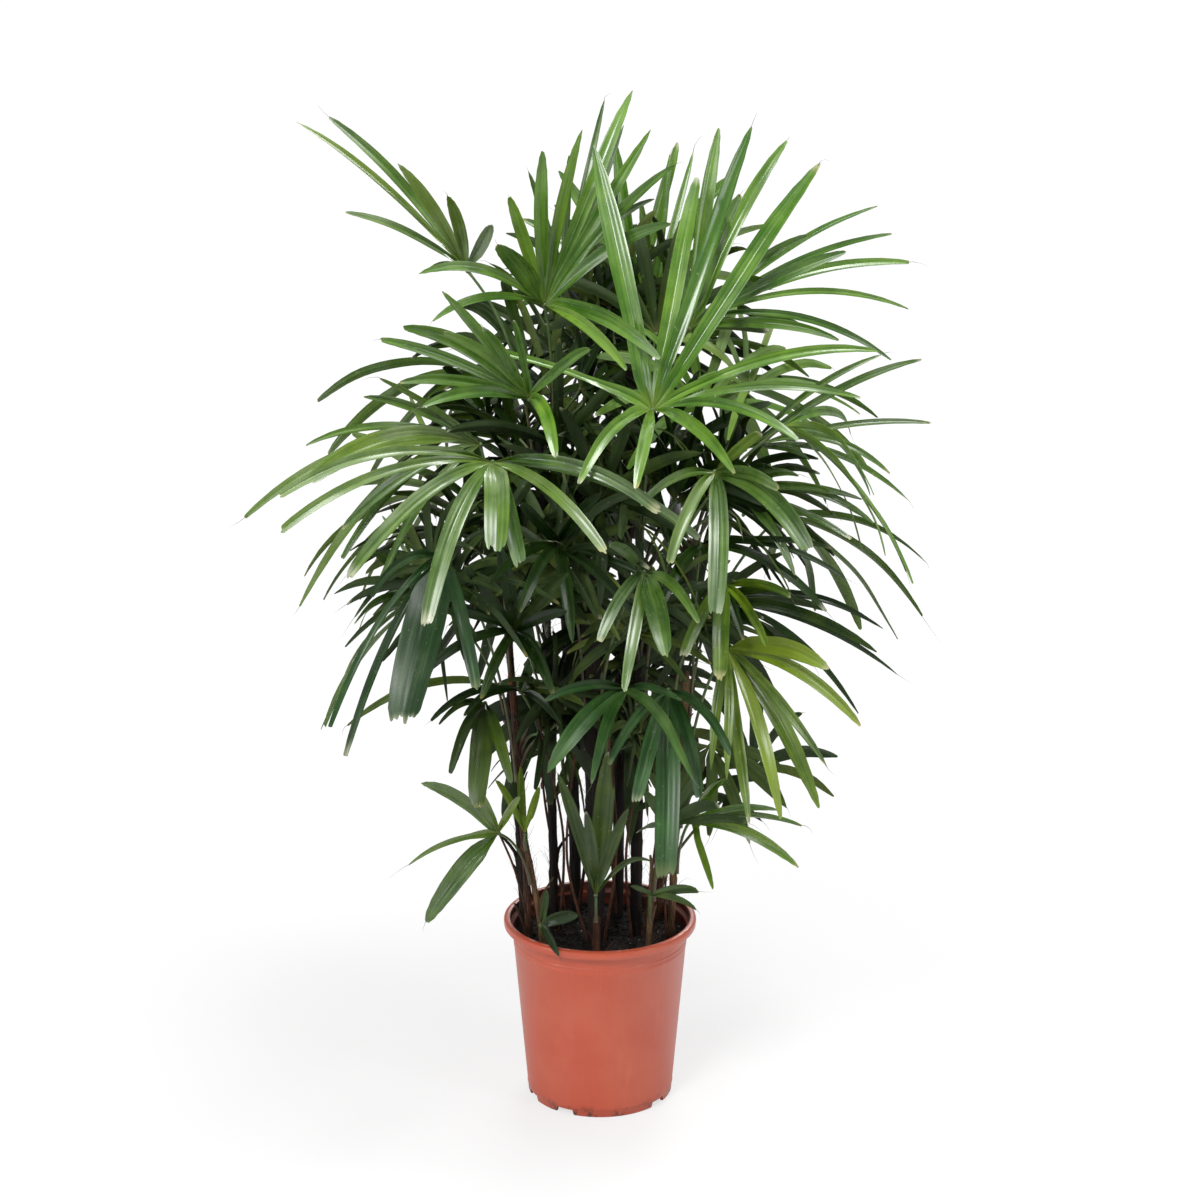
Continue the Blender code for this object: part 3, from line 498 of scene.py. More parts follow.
def build_fibre_group(name: str) -> Tree:
    """Build woven sheath fibre: two crossing sets of strands over a rough ground."""
    nodes, given = new_group(name, {"Dark": (0.01, 0.008, 0.006), "Strand": (0.08, 0.05, 0.03), "Turns": 9.0})
    times, ramp = nodes.times, nodes.ramp
    place = nodes.place()
    across, along, _ = nodes.split(nodes.uv())
    around, up = times(across, given["Turns"]), times(along, 62.0)
    wander = times(nodes.noise(place, 55.0), 1.4)
    rising = nodes.maths("ADD", times(up, 0.35, around), wander)
    falling = nodes.maths("SUBTRACT", times(up, 0.35, wander), around)
    sets = [ramp(nodes.maths("SINE", times(way, 6.283)), 0.35, 0.95) for way in (rising, falling)]
    strands = nodes.most(*sets)
    long_hair = nodes.drawn_out(place, (420.0, 420.0, 26.0), 4.0)
    patches = nodes.noise(place, 34.0, 4.0)
    share = times(strands, 0.45, times(long_hair, 1.1, -0.45))
    share = times(share, ramp(patches, 0.3, 0.7, 0.25, 1.15))
    nodes.send(
        Color=nodes.mix(share, given["Dark"], given["Strand"]),
        Roughness=ramp(patches, 0.2, 0.8, 0.72, 0.95),
        Height=times(long_hair, 1.3, strands),
    )
    return nodes.tree


def build_wear_group(name: str) -> Tree:
    """Build handling marks: faint scuffs, rubbed streaks and dust that gathers low down."""
    nodes, given = new_group(name, {"Low": 0.0, "High": 0.03}, False, ("Scuffs", "Dust", "Grain"))
    place = nodes.place()
    height = nodes.split(place)[2]
    streaks = nodes.ramp(nodes.drawn_out(place, (60.0, 60.0, 9.0), 5.0, 0.7), 0.56, 0.78, 0.0, 0.5)
    scratches = nodes.ramp(nodes.drawn_out(place, (30.0, 30.0, 300.0), 4.0, 0.7), 0.66, 0.74, 0.0, 0.3)
    low = nodes.add("MapRange", None, Value=height, From_Min=given["Low"], From_Max=given["High"]).outputs[0]
    spots = nodes.ramp(nodes.noise(place, 95.0, 4.0, 0.7), 0.50, 0.60)
    nodes.send(
        Scuffs=nodes.maths("ADD", streaks, scratches),
        Dust=nodes.times(nodes.maths("SUBTRACT", 1.0, low), spots),
        Grain=nodes.noise(place, 900.0, 2.0),
    )
    return nodes.tree


# ---------------------------------------------------------------- finishes


@dataclass(frozen=True)
class Finish:
    """What every finish has: the name of its material."""

    name: str

    def start(self) -> tuple[Material, Nodes]:
        """Return a new material and its node writer, which ends in its shader."""
        material = bpy.data.materials.new(self.name)
        material.use_nodes = True
        return material, Nodes(material.node_tree, material.node_tree.nodes["Principled BSDF"])

    @staticmethod
    def bump(nodes: Nodes, height: Socket, strength: float, deep: float) -> None:
        """Roughen the surface by a height.

        Args:
            nodes: The material's node writer.
            height: The height's socket.
            strength: How strongly it shows.
            deep: The height's size in metres.
        """
        nodes.send(Normal=nodes.add("Bump", None, Strength=strength, Distance=deep, Height=height).outputs[0])


@dataclass(frozen=True)
class BladeFinish(Finish):
    """A leaf blade's waxy upper side or its duller underside."""

    deep: Colour
    light: Colour
    tip: Colour
    # the share of pale wax, which also paints sheen
    bloom_and_sheen: float
    roughness: float
    coat: float

    def material(self) -> Material:
        """Build the material."""
        material, nodes = self.start()
        colours = {"Deep": self.deep, "Light": self.light, "Tip": self.tip}
        made = nodes.group("leaf_blade", build_blade_group, **colours, Bloom=self.bloom_and_sheen, Roughness=self.roughness)
        self.bump(nodes, made["Height"], 0.4, 0.0003)
        nodes.send(Base_Color=made["Color"], Roughness=made["Roughness"], Coat_Weight=self.coat, Coat_Roughness=0.20)
        nodes.send(Specular_IOR_Level=min(0.44, 0.25 + 0.7 * self.coat))
        return material


@dataclass(frozen=True)
class StemFinish(Finish):
    """A petiole's smooth green skin, browner towards its foot."""

    colour: Colour
    foot: Colour

    def material(self) -> Material:
        """Build the material."""
        material, nodes = self.start()
        uv = nodes.uv()
        along = nodes.split(uv)[1]
        patches = nodes.noise(nodes.place(), 60.0)
        colour = nodes.mix(nodes.ramp(along, 0.05, 0.75, 1.0, 0.0), self.colour, self.foot)
        colour = nodes.mix(nodes.ramp(patches, 0.45, 0.75, 0.0, 0.4), colour, (0.16, 0.17, 0.05))
        nodes.send(Base_Color=colour, Roughness=nodes.ramp(patches, 0.2, 0.8, 0.35, 0.55))
        self.bump(nodes, nodes.drawn_out(uv, (30.0, 4.0, 1.0)), 0.3, 0.0003)
        return material


@dataclass(frozen=True)
class FibreFinish(Finish):
    """Woven leaf-sheath fibre round a cane."""

    dark: Colour
    strand: Colour

    def material(self) -> Material:
        """Build the material."""
        material, nodes = self.start()
        made = nodes.group("sheath_fibre", build_fibre_group, Dark=self.dark, Strand=self.strand)
        self.bump(nodes, made["Height"], 0.9, 0.0008)
        nodes.send(Base_Color=made["Color"], Roughness=made["Roughness"], Specular_IOR_Level=0.3)
        return material


@dataclass(frozen=True)
class SoilFinish(Finish):
    """Moist dark peat, or the loose bits on it."""

    dark: Colour
    pale: Colour
    scale: float

    def material(self) -> Material:
        """Build the material."""
        material, nodes = self.start()
        place = nodes.place()
        crumbs = nodes.noise(place, self.scale, 6.0, 0.75)
        patches = nodes.noise(place, self.scale / 6)
        share = nodes.times(nodes.ramp(crumbs, 0.42, 0.8), nodes.ramp(patches, 0.3, 0.7, 0.4, 1.0))
        self.bump(nodes, crumbs, 1.0, 0.002)
        rough = nodes.ramp(crumbs, 0.3, 0.7, 0.98, 0.75)
        nodes.send(Base_Color=nodes.mix(share, self.dark, self.pale), Roughness=rough, Specular_IOR_Level=0.25)
        return material


@dataclass(frozen=True)
class PotFinish(Finish):
    """Satin moulded plastic in terracotta colour, lightly scuffed, dusty at the feet, and darkened inside by painted
    shade that is partly peat staining.
    """

    colour: Colour
    worn: Colour
    dirt: Colour
    # the near-black painted shade on the pot's inner side, partly peat staining
    peat: Colour
    slope: float = 0.0865  # how far the wall leans out for each metre up
    # The radii and heights over which the pot's outer side, mouth, rim and floor change to its inner side
    wall: tuple[float, float] = (0.0893, 0.0899)
    mouth: tuple[float, float] = (0.1121, 0.1131)
    rim: tuple[float, float] = (0.2200, 0.2225)
    floor: tuple[float, float] = (0.010, 0.020)

    def inside(self, nodes: Nodes, place: Socket) -> Socket:
        """Return where the pot's inner side is.

        Args:
            nodes: The material's node writer.
            place: The pot's own coordinates.
        """
        level = nodes.add("Mapping", None, Vector=place, Scale=(1.0, 1.0, 0.0)).outputs[0]
        far, height = nodes.length(level), nodes.split(place)[2]
        within = nodes.ramp(nodes.times(height, -self.slope, far), *self.wall, 1.0, 0.0)
        mouth = nodes.times(nodes.ramp(far, *self.mouth, 1.0, 0.0), nodes.ramp(height, *self.rim))
        return nodes.times(nodes.most(within, mouth), nodes.ramp(height, *self.floor))

    def material(self) -> Material:
        """Build the material."""
        material, nodes = self.start()
        place = nodes.place()
        wear = nodes.group("handling_wear", build_wear_group, High=0.017)
        clouds = nodes.noise(place, 14.0, 4.0)
        colour = nodes.mix(nodes.ramp(clouds, 0.35, 0.7, 0.0, 0.35), self.colour, self.worn)
        colour = nodes.mix(wear["Scuffs"], colour, self.worn)
        colour = nodes.mix(wear["Dust"], colour, self.dirt)
        # Painted shade: the pot's inner side is darkened nearly to black in smears, partly peat staining
        inner_shade = nodes.ramp(nodes.drawn_out(place, (40.0, 40.0, 90.0), 4.0), 0.25, 0.6, 0.6, 0.95)
        colour = nodes.mix(nodes.times(self.inside(nodes, place), inner_shade), colour, self.peat)
        rough = nodes.times(wear["Scuffs"], 0.2, nodes.ramp(clouds, 0.3, 0.7, 0.36, 0.46))
        nodes.send(Base_Color=colour, Roughness=rough, Coat_Weight=0.32, Coat_Roughness=0.26)
        self.bump(nodes, nodes.times(clouds, 2.0, wear["Grain"]), 0.12, 0.0006)
        return material


class LeafTone(Enum):
    """The greens that the leaves come in; the deep green is partly painted shade, and the bright and yellow greens are
    partly painted light.
    """

    BRIGHT = "bright"
    GREEN = "green"
    DEEP = "deep"
    BLUE = "blue"
    YELLOW = "yellow"
    OLIVE = "olive"

    @property
    def slot(self) -> str:
        """Return the record's material slot that this green belongs to."""
        return "leaf_green" if self is LeafTone.OLIVE else f"leaf_{self.value}"


STRAW = (0.32, 0.30, 0.10)
DRY_GREEN = (0.32, 0.30, 0.12)
DARK_TIP = (0.12, 0.12, 0.03)
BLUE_TIP = (0.10, 0.13, 0.05)
OLIVE_TIP = (0.26, 0.24, 0.08)
# The fourth number, the pale wax, also paints sheen.
SIDES = {  # each green's waxy side and underside: deep, light and tip colours, bloom, roughness and coat
    # The bright green is partly painted light.
    LeafTone.BRIGHT: (
        BladeFinish("blade_bright", (0.022, 0.080, 0.002), (0.125, 0.244, 0.020), STRAW, 0.08, 0.27, 0.40),
        BladeFinish("under_bright", (0.050, 0.120, 0.006), (0.150, 0.258, 0.036), STRAW, 0.36, 0.55, 0.0),
    ),
    LeafTone.GREEN: (
        BladeFinish("blade_green", (0.016, 0.052, 0.002), (0.094, 0.176, 0.020), DRY_GREEN, 0.30, 0.29, 0.28),
        BladeFinish("under_green", (0.034, 0.080, 0.008), (0.114, 0.190, 0.032), DRY_GREEN, 0.42, 0.50, 0.0),
    ),
    # The deep green is partly painted shade, darkened for the leaves inside the crown.
    LeafTone.DEEP: (
        BladeFinish("blade_deep", (0.003, 0.012, 0.0004), (0.016, 0.047, 0.002), DARK_TIP, 0.02, 0.34, 0.02),
        BladeFinish("under_deep", (0.004, 0.012, 0.0004), (0.022, 0.048, 0.003), DARK_TIP, 0.05, 0.60, 0.0),
    ),
    LeafTone.BLUE: (
        BladeFinish("blade_blue", (0.004, 0.024, 0.003), (0.027, 0.098, 0.013), BLUE_TIP, 0.13, 0.36, 0.08),
        BladeFinish("under_blue", (0.010, 0.028, 0.002), (0.040, 0.080, 0.010), BLUE_TIP, 0.10, 0.62, 0.0),
    ),
    LeafTone.OLIVE: (
        BladeFinish("blade_olive", (0.010, 0.026, 0.001), (0.048, 0.085, 0.006), OLIVE_TIP, 0.07, 0.34, 0.08),
        BladeFinish("under_olive", (0.012, 0.028, 0.001), (0.050, 0.085, 0.007), OLIVE_TIP, 0.08, 0.60, 0.0),
    ),
    # The yellow green is partly painted light shining through the leaf.
    LeafTone.YELLOW: (
        BladeFinish("blade_yellow", (0.020, 0.055, 0.001), (0.122, 0.196, 0.006), (0.30, 0.27, 0.08), 0.10, 0.36, 0.14),
        BladeFinish("under_yellow", (0.060, 0.110, 0.002), (0.175, 0.250, 0.010), (0.36, 0.32, 0.09), 0.03, 0.60, 0.0),
    ),
}
PETIOLE = StemFinish("petiole_skin", (0.040, 0.085, 0.016), (0.050, 0.034, 0.014))
BARKS = {
    "dark": FibreFinish("sheath_dark", (0.0045, 0.0035, 0.003), (0.032, 0.018, 0.012)),
    "brown": FibreFinish("sheath_brown", (0.022, 0.010, 0.006), (0.235, 0.084, 0.038)),
    "tan": FibreFinish("sheath_tan", (0.045, 0.024, 0.011), (0.340, 0.188, 0.085)),
}
# The last colour, near black, paints the shade on the pot's inner side, partly peat staining.
POT = PotFinish(
    "terracotta_plastic", (0.445, 0.064, 0.024), (0.520, 0.126, 0.066), (0.030, 0.012, 0.008), (0.028, 0.007, 0.004)
)
SOIL = SoilFinish("moist_peat", (0.0045, 0.0035, 0.003), (0.035, 0.024, 0.016), 240.0)
BARK_CHIP = SoilFinish("bark_chip", (0.012, 0.007, 0.004), (0.085, 0.050, 0.030), 160.0)
PERLITE = SoilFinish("perlite_grain", (0.30, 0.28, 0.25), (0.70, 0.68, 0.64), 400.0)


@dataclass(frozen=True)
class LeafLook:
    """How one leaf looks: its green, its blades' blunt ends and width, and whether its waxy side is at the back."""

    tone: LeafTone
    bluntness: float = 0.25
    turned: bool = False
    widest: float = 0.05  # the most that a blade is wide, in metres


# The leaves that look unlike their slot's others, by their nodes' names without leaf_
LOOKS = {
    "soil": LeafLook(LeafTone.DEEP, 0.3),
    "spear": LeafLook(LeafTone.YELLOW, 0.1),
    "sucker": LeafLook(LeafTone.OLIVE, 0.1),
    "left_long": LeafLook(LeafTone.GREEN, 0.4),
    # Painted light: a bright green for this leaf, whose upper side faces down, away from the lamps above.
    "left_upper": LeafLook(LeafTone.BRIGHT, 0.3),
    "right_yellow": LeafLook(LeafTone.YELLOW, 0.05, widest=0.021),
    "left_front": LeafLook(LeafTone.GREEN, 0.95),
    "left_broad": LeafLook(LeafTone.BLUE, 1.0),
    "left_hanging": LeafLook(LeafTone.OLIVE, 0.6),
    "middle_front": LeafLook(LeafTone.GREEN, 0.7),
    "middle_low": LeafLook(LeafTone.BLUE, 0.3, True),
    "blue_hanging": LeafLook(LeafTone.BLUE, 0.95, True),
    "right_front": LeafLook(LeafTone.GREEN, 0.9, True),
    "right_hanging": LeafLook(LeafTone.YELLOW, 0.8),
    "right_lower": LeafLook(LeafTone.DEEP, turned=True),
    "right_upper": LeafLook(LeafTone.GREEN, 0.2, True),
    "right_top": LeafLook(LeafTone.BRIGHT, 0.3, True),
    # Painted light: a bright green for this leaf, so that it looks lit from above.
    "crown_left": LeafLook(LeafTone.BRIGHT, 0.15, True),
    "crown_far_left": LeafLook(LeafTone.GREEN, 0.1),
    "crown_left_rear": LeafLook(LeafTone.GREEN, 0.1, True),
    "crown_rear": LeafLook(LeafTone.BRIGHT, 0.1, True),
    "back_low_left": LeafLook(LeafTone.DEEP, turned=True),
    "back_low_right": LeafLook(LeafTone.DEEP, turned=True),
    "back_right": LeafLook(LeafTone.GREEN, turned=True),
    "back_upper_left": LeafLook(LeafTone.GREEN, turned=True),
    "back_upper_right": LeafLook(LeafTone.BRIGHT, turned=True),
    "side_left": LeafLook(LeafTone.GREEN, turned=True),
}


# ---------------------------------------------------------------- lines and laid shapes


def outward(side: Vector, ahead: Vector, angle: float) -> Vector:
    """Return the direction at an angle round a line, from its side."""
    return side * math.cos(angle) + ahead.cross(side) * math.sin(angle)


def path_length(points: Sequence[Vector]) -> float:
    """Return the length of the path through points."""
    return sum((b - a).length for a, b in zip(points, points[1:]))


class Line:
    """A smooth line through points, with a frame that doesn't twist."""

    ASIDE = Vector((0.23, 0.71, 0.13))  # a direction that no line starts along

    def __init__(self, points: Sequence[Vector], steps: int = 24) -> None:
        """Sample the line.

        Args:
            points: The points that it runs through.
            steps: How many steps it is sampled in.
        """
        self.steps = steps
        self.places = [self.curve_at(points, index / steps) for index in range(steps + 1)]
        self.length = path_length(self.places)
        ahead = (self.places[1] - self.places[0]).normalized()
        side = ahead.cross(self.ASIDE).normalized()
        self.sides: list[Vector] = []
        self.aheads: list[Vector] = []
        for index in range(steps + 1):
            before, after = self.places[max(index - 1, 0)], self.places[min(index + 1, steps)]
            ahead = (after - before).normalized()
            side = (side - ahead * side.dot(ahead)).normalized()
            self.sides.append(side)
            self.aheads.append(ahead)

    @staticmethod
    def curve_at(points: Sequence[Vector], share: float) -> Vector:
        """Find a point of the smooth curve.

        Args:
            points: The points that the curve runs through.
            share: The share of its length.

        Returns:
            The point.
        """
        last = len(points) - 1
        spot = min(share * last, last - 1e-6)
        index = int(spot)
        t = spot - index
        a, b = points[max(index - 1, 0)], points[index]
        c, d = points[index + 1], points[min(index + 2, last)]
        bend = (3 * b - a - 3 * c + d) * t**3 + (2 * a - 5 * b + 4 * c - d) * t**2 + (c - a) * t
        return b + bend / 2

    def frame(self, share: float) -> tuple[Vector, Vector, Vector]:
        """Find the line's frame at a share of its length.

        Args:
            share: The share.

        Returns:
            The place, the side and the direction ahead.
        """
        spot = min(max(share, 0.0), 1.0) * self.steps
        index = min(int(spot), self.steps - 1)
        t = spot - index
        place, side, ahead = (row[index].lerp(row[index + 1], t) for row in (self.places, self.sides, self.aheads))
        return place, side.normalized(), ahead.normalized()


def points_of(obj: Shape) -> np.ndarray:
    """Return the mesh's points, one row each."""
    flat = np.empty(len(obj.data.vertices) * 3)
    obj.data.vertices.foreach_get("co", flat)
    return flat.reshape(-1, 3)


def move_points(obj: Shape, points: Sequence[Sequence[float]]) -> None:
    """Put the mesh's points at these places."""
    obj.data.vertices.foreach_set("co", np.array(points, np.float32).ravel())
    obj.data.update()


def map_uv(obj: Shape, across: int | float, shift: int, axis: int) -> None:
    """Stretch the UV map and let it run along the piece.

    Args:
        obj: The piece, before it is laid.
        across: How many times wider the map becomes.
        shift: How far it is moved aside.
        axis: The axis of the piece that it runs along.
    """
    layer = obj.data.uv_layers[0]
    layer.name = "UVMap"
    flat = np.empty(len(obj.data.loops) * 2)
    layer.data.foreach_get("uv", flat)
    index = np.empty(len(obj.data.loops), np.int32)
    obj.data.loops.foreach_get("vertex_index", index)
    changed = np.column_stack((flat[::2] * across + shift, points_of(obj)[index][:, axis]))
    layer.data.foreach_set("uv", changed.astype(np.float32).ravel())


def set_tone(obj: Shape, tone: float) -> None:
    """Give every point of a piece the same tone."""
    layer = obj.data.attributes.new("blade_tone", "FLOAT", "POINT")
    layer.data.foreach_set("value", np.full(len(obj.data.vertices), tone, np.float32))


def straight_tube(name: str, sides: int, rows: int) -> Shape:
    """Model a straight tube with a radius of one along Z from zero to one, closed by small caps.

    Args:
        name: The object's name.
        sides: How many sides it has.
        rows: How many rows of faces it has along its length.

    Returns:
        The tube.
    """
    add = bpy.ops.mesh.primitive_cylinder_add
    tube = new_primitive(add, name, vertices=sides, radius=1.0, depth=1.0, location=(0, 0, 0.5), end_fill_type="TRIFAN")
    with edit_mode():
        bpy.context.tool_settings.mesh_select_mode = (False, True, False)
        bpy.ops.mesh.select_all(action="DESELECT")
        shape = bmesh.from_edit_mesh(tube.data)
        for edge in shape.edges:
            first, second = edge.verts
            edge.select_set(abs(first.co.z - second.co.z) > 0.5)
        bmesh.update_edit_mesh(tube.data)
        bpy.ops.mesh.subdivide(number_cuts=rows - 1)
        bpy.context.tool_settings.mesh_select_mode = (True, False, False)
    return tube


def lay_tube(model: Shape, name: str, line: Line, radius: Radius, turns: float = 1.0) -> Shape:
    """Lay a copy of a straight tube along a line.

    Args:
        model: The straight tube.
        name: The copy's name.
        line: The line that it follows.
        radius: The radius in metres at a share of the length and an angle in radians.
        turns: How often the UV map repeats around.

    Returns:
        The copy.
    """
    tube = copy_of(model, name)
    map_uv(tube, turns, 0, 2)
    laid = []
    for x, y, z in points_of(tube):
        place, side, ahead = line.frame(z)
        angle = math.atan2(y, x)
        laid.append(place + outward(side, ahead, angle) * (radius(z, angle) * math.hypot(x, y)))
    move_points(tube, laid)
    return tube


# ---------------------------------------------------------------- what the frame says


@dataclass(frozen=True)
class BladeForm:
    """One blade's outline: its hub, the two notches beside it and its edges at a few shares of its length."""

    hub: Vector
    notches: tuple[Vector, Vector]
    shares: tuple[float, ...]
    rights: tuple[Vector, ...]
    lefts: tuple[Vector, ...]

    @property
    def tip(self) -> Vector:
        """Return the middle of the blade's end."""
        return (self.rights[-1] + self.lefts[-1]) / 2

    @property
    def control(self) -> Vector:
        """Return the point that the midline bends towards."""
        t = self.shares[1]
        middle = (self.rights[1] + self.lefts[1]) / 2
        return (middle - (1 - t) ** 2 * self.hub - t * t * self.tip) / (2 * t * (1 - t))

    @property
    def width(self) -> float:
        """Return the full width."""
        return max((left - right).length for right, left in zip(self.rights, self.lefts))

    @property
    def length(self) -> float:
        """Return about the length of the midline."""
        return (path_length((self.hub, self.control, self.tip)) + (self.tip - self.hub).length) / 2

    def base_share(self) -> float:
        """Return the share of the length at which the notches lie."""
        reach = sum((notch - self.hub).length for notch in self.notches) / 2
        return min(0.24, max(0.04, reach / self.length))


@dataclass
class LeafForm:
    """One leaf as it stands: its petiole's points from the cane to the hub, and its blades in order."""

    name: str
    slot: str
    look: LeafLook
    stem: list[Vector]
    blades: list[BladeForm]

    def turn(self) -> None:
        """Swap the leaf's two sides, so that the waxy one is where the other was."""
        self.blades = [replace(b, notches=b.notches[::-1], rights=b.lefts, lefts=b.rights) for b in self.blades]


class OutlineReader:
    """Reads a leaf's outline from its frame node, which is a thin sheet with a rim."""

    RIMS = (1.0, 1.65)  # the sheet's thickness at the blades and beside the petiole, in mm
    SLACK = 0.03  # how far a thickness may be off, in mm
    SPANS = (7, 9)  # the points from one notch to the next, on a short blade and on a long one
    STEM_POINTS = 7
    MERGE = 1e-5  # points nearer than this are one, in metres
    LONG_SHARES = (0.32, 0.56, 0.80, 1.0)
    SHORT_SHARES = (0.36, 0.72, 1.0)

    def __init__(self, node: Shape) -> None:
        """Merge the node's loose triangles and pair the points across its rim.

        Args:
            node: The frame node.
        """
        self.shape = bmesh.new()
        self.shape.from_mesh(node.data)
        bmesh.ops.remove_doubles(self.shape, verts=self.shape.verts, dist=self.MERGE)
        self.shape.verts.ensure_lookup_table()
        self.pair_of: dict[int, int] = {}
        self.middles: list[Vector] = []
        self.at_blade: list[bool] = []
        for edge in sorted(self.shape.edges, key=lambda edge: edge.calc_length()):
            gap = 1000 * edge.calc_length()  # in mm
            first, second = edge.verts
            fits = min(abs(gap - rim) for rim in self.RIMS) < self.SLACK
            if fits and first.index not in self.pair_of and second.index not in self.pair_of:
                self.pair_of[first.index] = self.pair_of[second.index] = len(self.middles)
                self.middles.append((first.co + second.co) / 2)
                self.at_blade.append(abs(gap - self.RIMS[0]) < self.SLACK)

    def neighbours(self) -> dict[int, set[int]]:
        """Return each pair's neighbours along the rim."""
        beside: dict[int, set[int]] = {}
        for face in self.shape.faces:
            pairs = {self.pair_of.get(vert.index) for vert in face.verts}
            if len(pairs) == 2 and None not in pairs:
                first, second = pairs
                beside.setdefault(first, set()).add(second)
                beside.setdefault(second, set()).add(first)
        return beside

    @staticmethod
    def walk(beside: dict[int, set[int]], start: int, wanted: Callable[[int], bool]) -> list[int]:
        """Walk along the rim over wanted pairs.

        Args:
            beside: Each pair's neighbours.
            start: The pair to start from.
            wanted: Says whether a pair is wanted.

        Returns:
            The pairs in order.
        """
        run = [start]
        while True:
            onward = [pair for pair in beside[run[-1]] if wanted(pair) and pair not in run]
            if not onward:
                return run
            run.append(onward[0])

    def read(self) -> tuple[list[Vector], list[BladeForm]]:
        """Return the petiole's points from the cane to the hub, and the blades in order.

        Raises:
            ValueError: The rim couldn't be followed.
        """
        beside = self.neighbours()
        blade, stem = self.at_blade.__getitem__, lambda pair: not self.at_blade[pair]
        ends = [pair for pair in beside if blade(pair) and any(stem(other) for other in beside[pair])]
        if len(ends) != 2:
            raise ValueError(f"{len(ends)} ends")
        rim = self.walk(beside, ends[0], blade)
        hubs = [next(other for other in beside[end] if stem(other)) for end in (rim[0], rim[-1])]
        sides = [self.walk(beside, hub, stem)[: self.STEM_POINTS] for hub in hubs]
        if rim[-1] != ends[1] or len(rim) != sum(self.at_blade) or min(map(len, sides)) < self.STEM_POINTS:
            raise ValueError("broken rim")
        line = [(self.middles[a] + self.middles[b]) / 2 for a, b in zip(*sides)]
        self.shape.free()
        return line[::-1], self.blades(line[0], [self.middles[pair] for pair in rim])

    def blades(self, hub: Vector, points: list[Vector]) -> list[BladeForm]:
        """Return the blades in order.

        Args:
            hub: The leaf's hub.
            points: The rim's points from the first notch to the last.
        """
        far = [(point - hub).length for point in points]
        notches = [0]
        while notches[-1] < len(points) - 1:
            nexts = [notches[-1] + span for span in self.SPANS if notches[-1] + span < len(points)]
            notches.append(min(nexts, key=far.__getitem__))
        blades = []
        for first, last in zip(notches, notches[1:]):
            middle = first + 1 + (last - first - 1) // 2
            rights, lefts = tuple(points[first + 1 : middle]), tuple(reversed(points[middle:last]))
            shares = self.LONG_SHARES if last - first == self.SPANS[1] else self.SHORT_SHARES
            blades.append(BladeForm(hub, (points[first], points[last]), shares, rights, lefts))
        return blades


def middle_line(node: Shape) -> tuple[list[Vector], float]:
    """Read a cane's middle line from its node's rings of points.

    Args:
        node: The frame node.

    Returns:
        The line's points from the lowest up, and the cane's radius.
    """
    ring_gap = 0.004  # the least height between two rings, in metres
    points = sorted({tuple(round(value, 5) for value in vert.co) for vert in node.data.vertices}, key=lambda p: p[2])
    rings: list[list[Point]] = [[points[0]]]
    for before, point in zip(points, points[1:]):
        if point[2] - before[2] > ring_gap:
            rings.append([])
        rings[-1].append(point)
    line = [sum((Vector(point) for point in ring), Vector()) / len(ring) for ring in rings]
    radius = max((Vector(point) - line[1]).length for point in rings[1])
    return line, radius


# ---------------------------------------------------------------- leaves


@dataclass
class BladeMasters:
    """Straight model blades, one for each number of pleats, that every leaf's blades are copied from."""

    crest: tuple[float, ...] = (0.0, 0.72, 1.0, 0.72)  # the height of each strip's edge in a pleat
    rows: tuple[float, ...] = (
        *(0.0, 0.03, 0.065, 0.105, 0.155, 0.21, 0.27, 0.33, 0.39, 0.45, 0.51, 0.57),
        *(0.63, 0.69, 0.75, 0.81, 0.865, 0.91, 0.95, 0.98, 1.0),
    )
    pleats: tuple[int, ...] = (2, 3, 4, 5, 6)
    pleat_width: float = 0.0056  # about a pleat's width on the plant, in metres
    made: dict[int, Shape] = field(init=False)

    def __post_init__(self) -> None:
        """Model each blade."""
        self.made = {count: self.build_blade(count) for count in self.pleats}

    def build_blade(self, count: int) -> Shape:
        """Model one blade: a pleated strip, a unit long along Y and a unit wide along X.

        Args:
            count: How many pleats it has.

        Returns:
            The blade.
        """
        strips, last = len(self.crest), len(self.rows) - 1
        columns = count * strips
        sizes = {"x_subdivisions": columns, "y_subdivisions": last, "size": 1.0, "location": (0, 0.5, 0)}
        blade = new_primitive(bpy.ops.mesh.primitive_grid_add, f"model_blade_{count}", **sizes)
        step, spacing, aside = 1.0 / columns, 1.0 / last, 2.0
        with edit_mode():
            for column in range(columns + 1):
                height, at = self.crest[column % strips], column * step - 0.5
                if height:
                    select_points(blade, lambda point: abs(point.x - at) < step / 4)
                    bpy.ops.transform.translate(value=(0, 0, height))
            for row in range(last - 1, 0, -1):
                select_points(blade, lambda point: abs(point.y - row * spacing) < spacing / 4)
                bpy.ops.transform.translate(value=(0, self.rows[row] - row * spacing + aside, 0))
            select_points(blade, lambda point: point.y > aside - 0.5)
            bpy.ops.transform.translate(value=(0, -aside, 0))
        return blade

    def pick(self, width: float) -> tuple[int, Shape]:
        """Return how many pleats suit a width in metres, and the model blade that has them."""
        count = min(max(round(width / self.pleat_width), self.pleats[0]), self.pleats[-1])
        return count, self.made[count]


# The crest and rows of a simpler model blade, for the leaves inside the crown
PLAIN_BLADE = ((0.0, 1.0), (0.0, 0.05, 0.11, 0.19, 0.29, 0.40, 0.52, 0.64, 0.75, 0.85, 0.93, 0.98, 1.0))


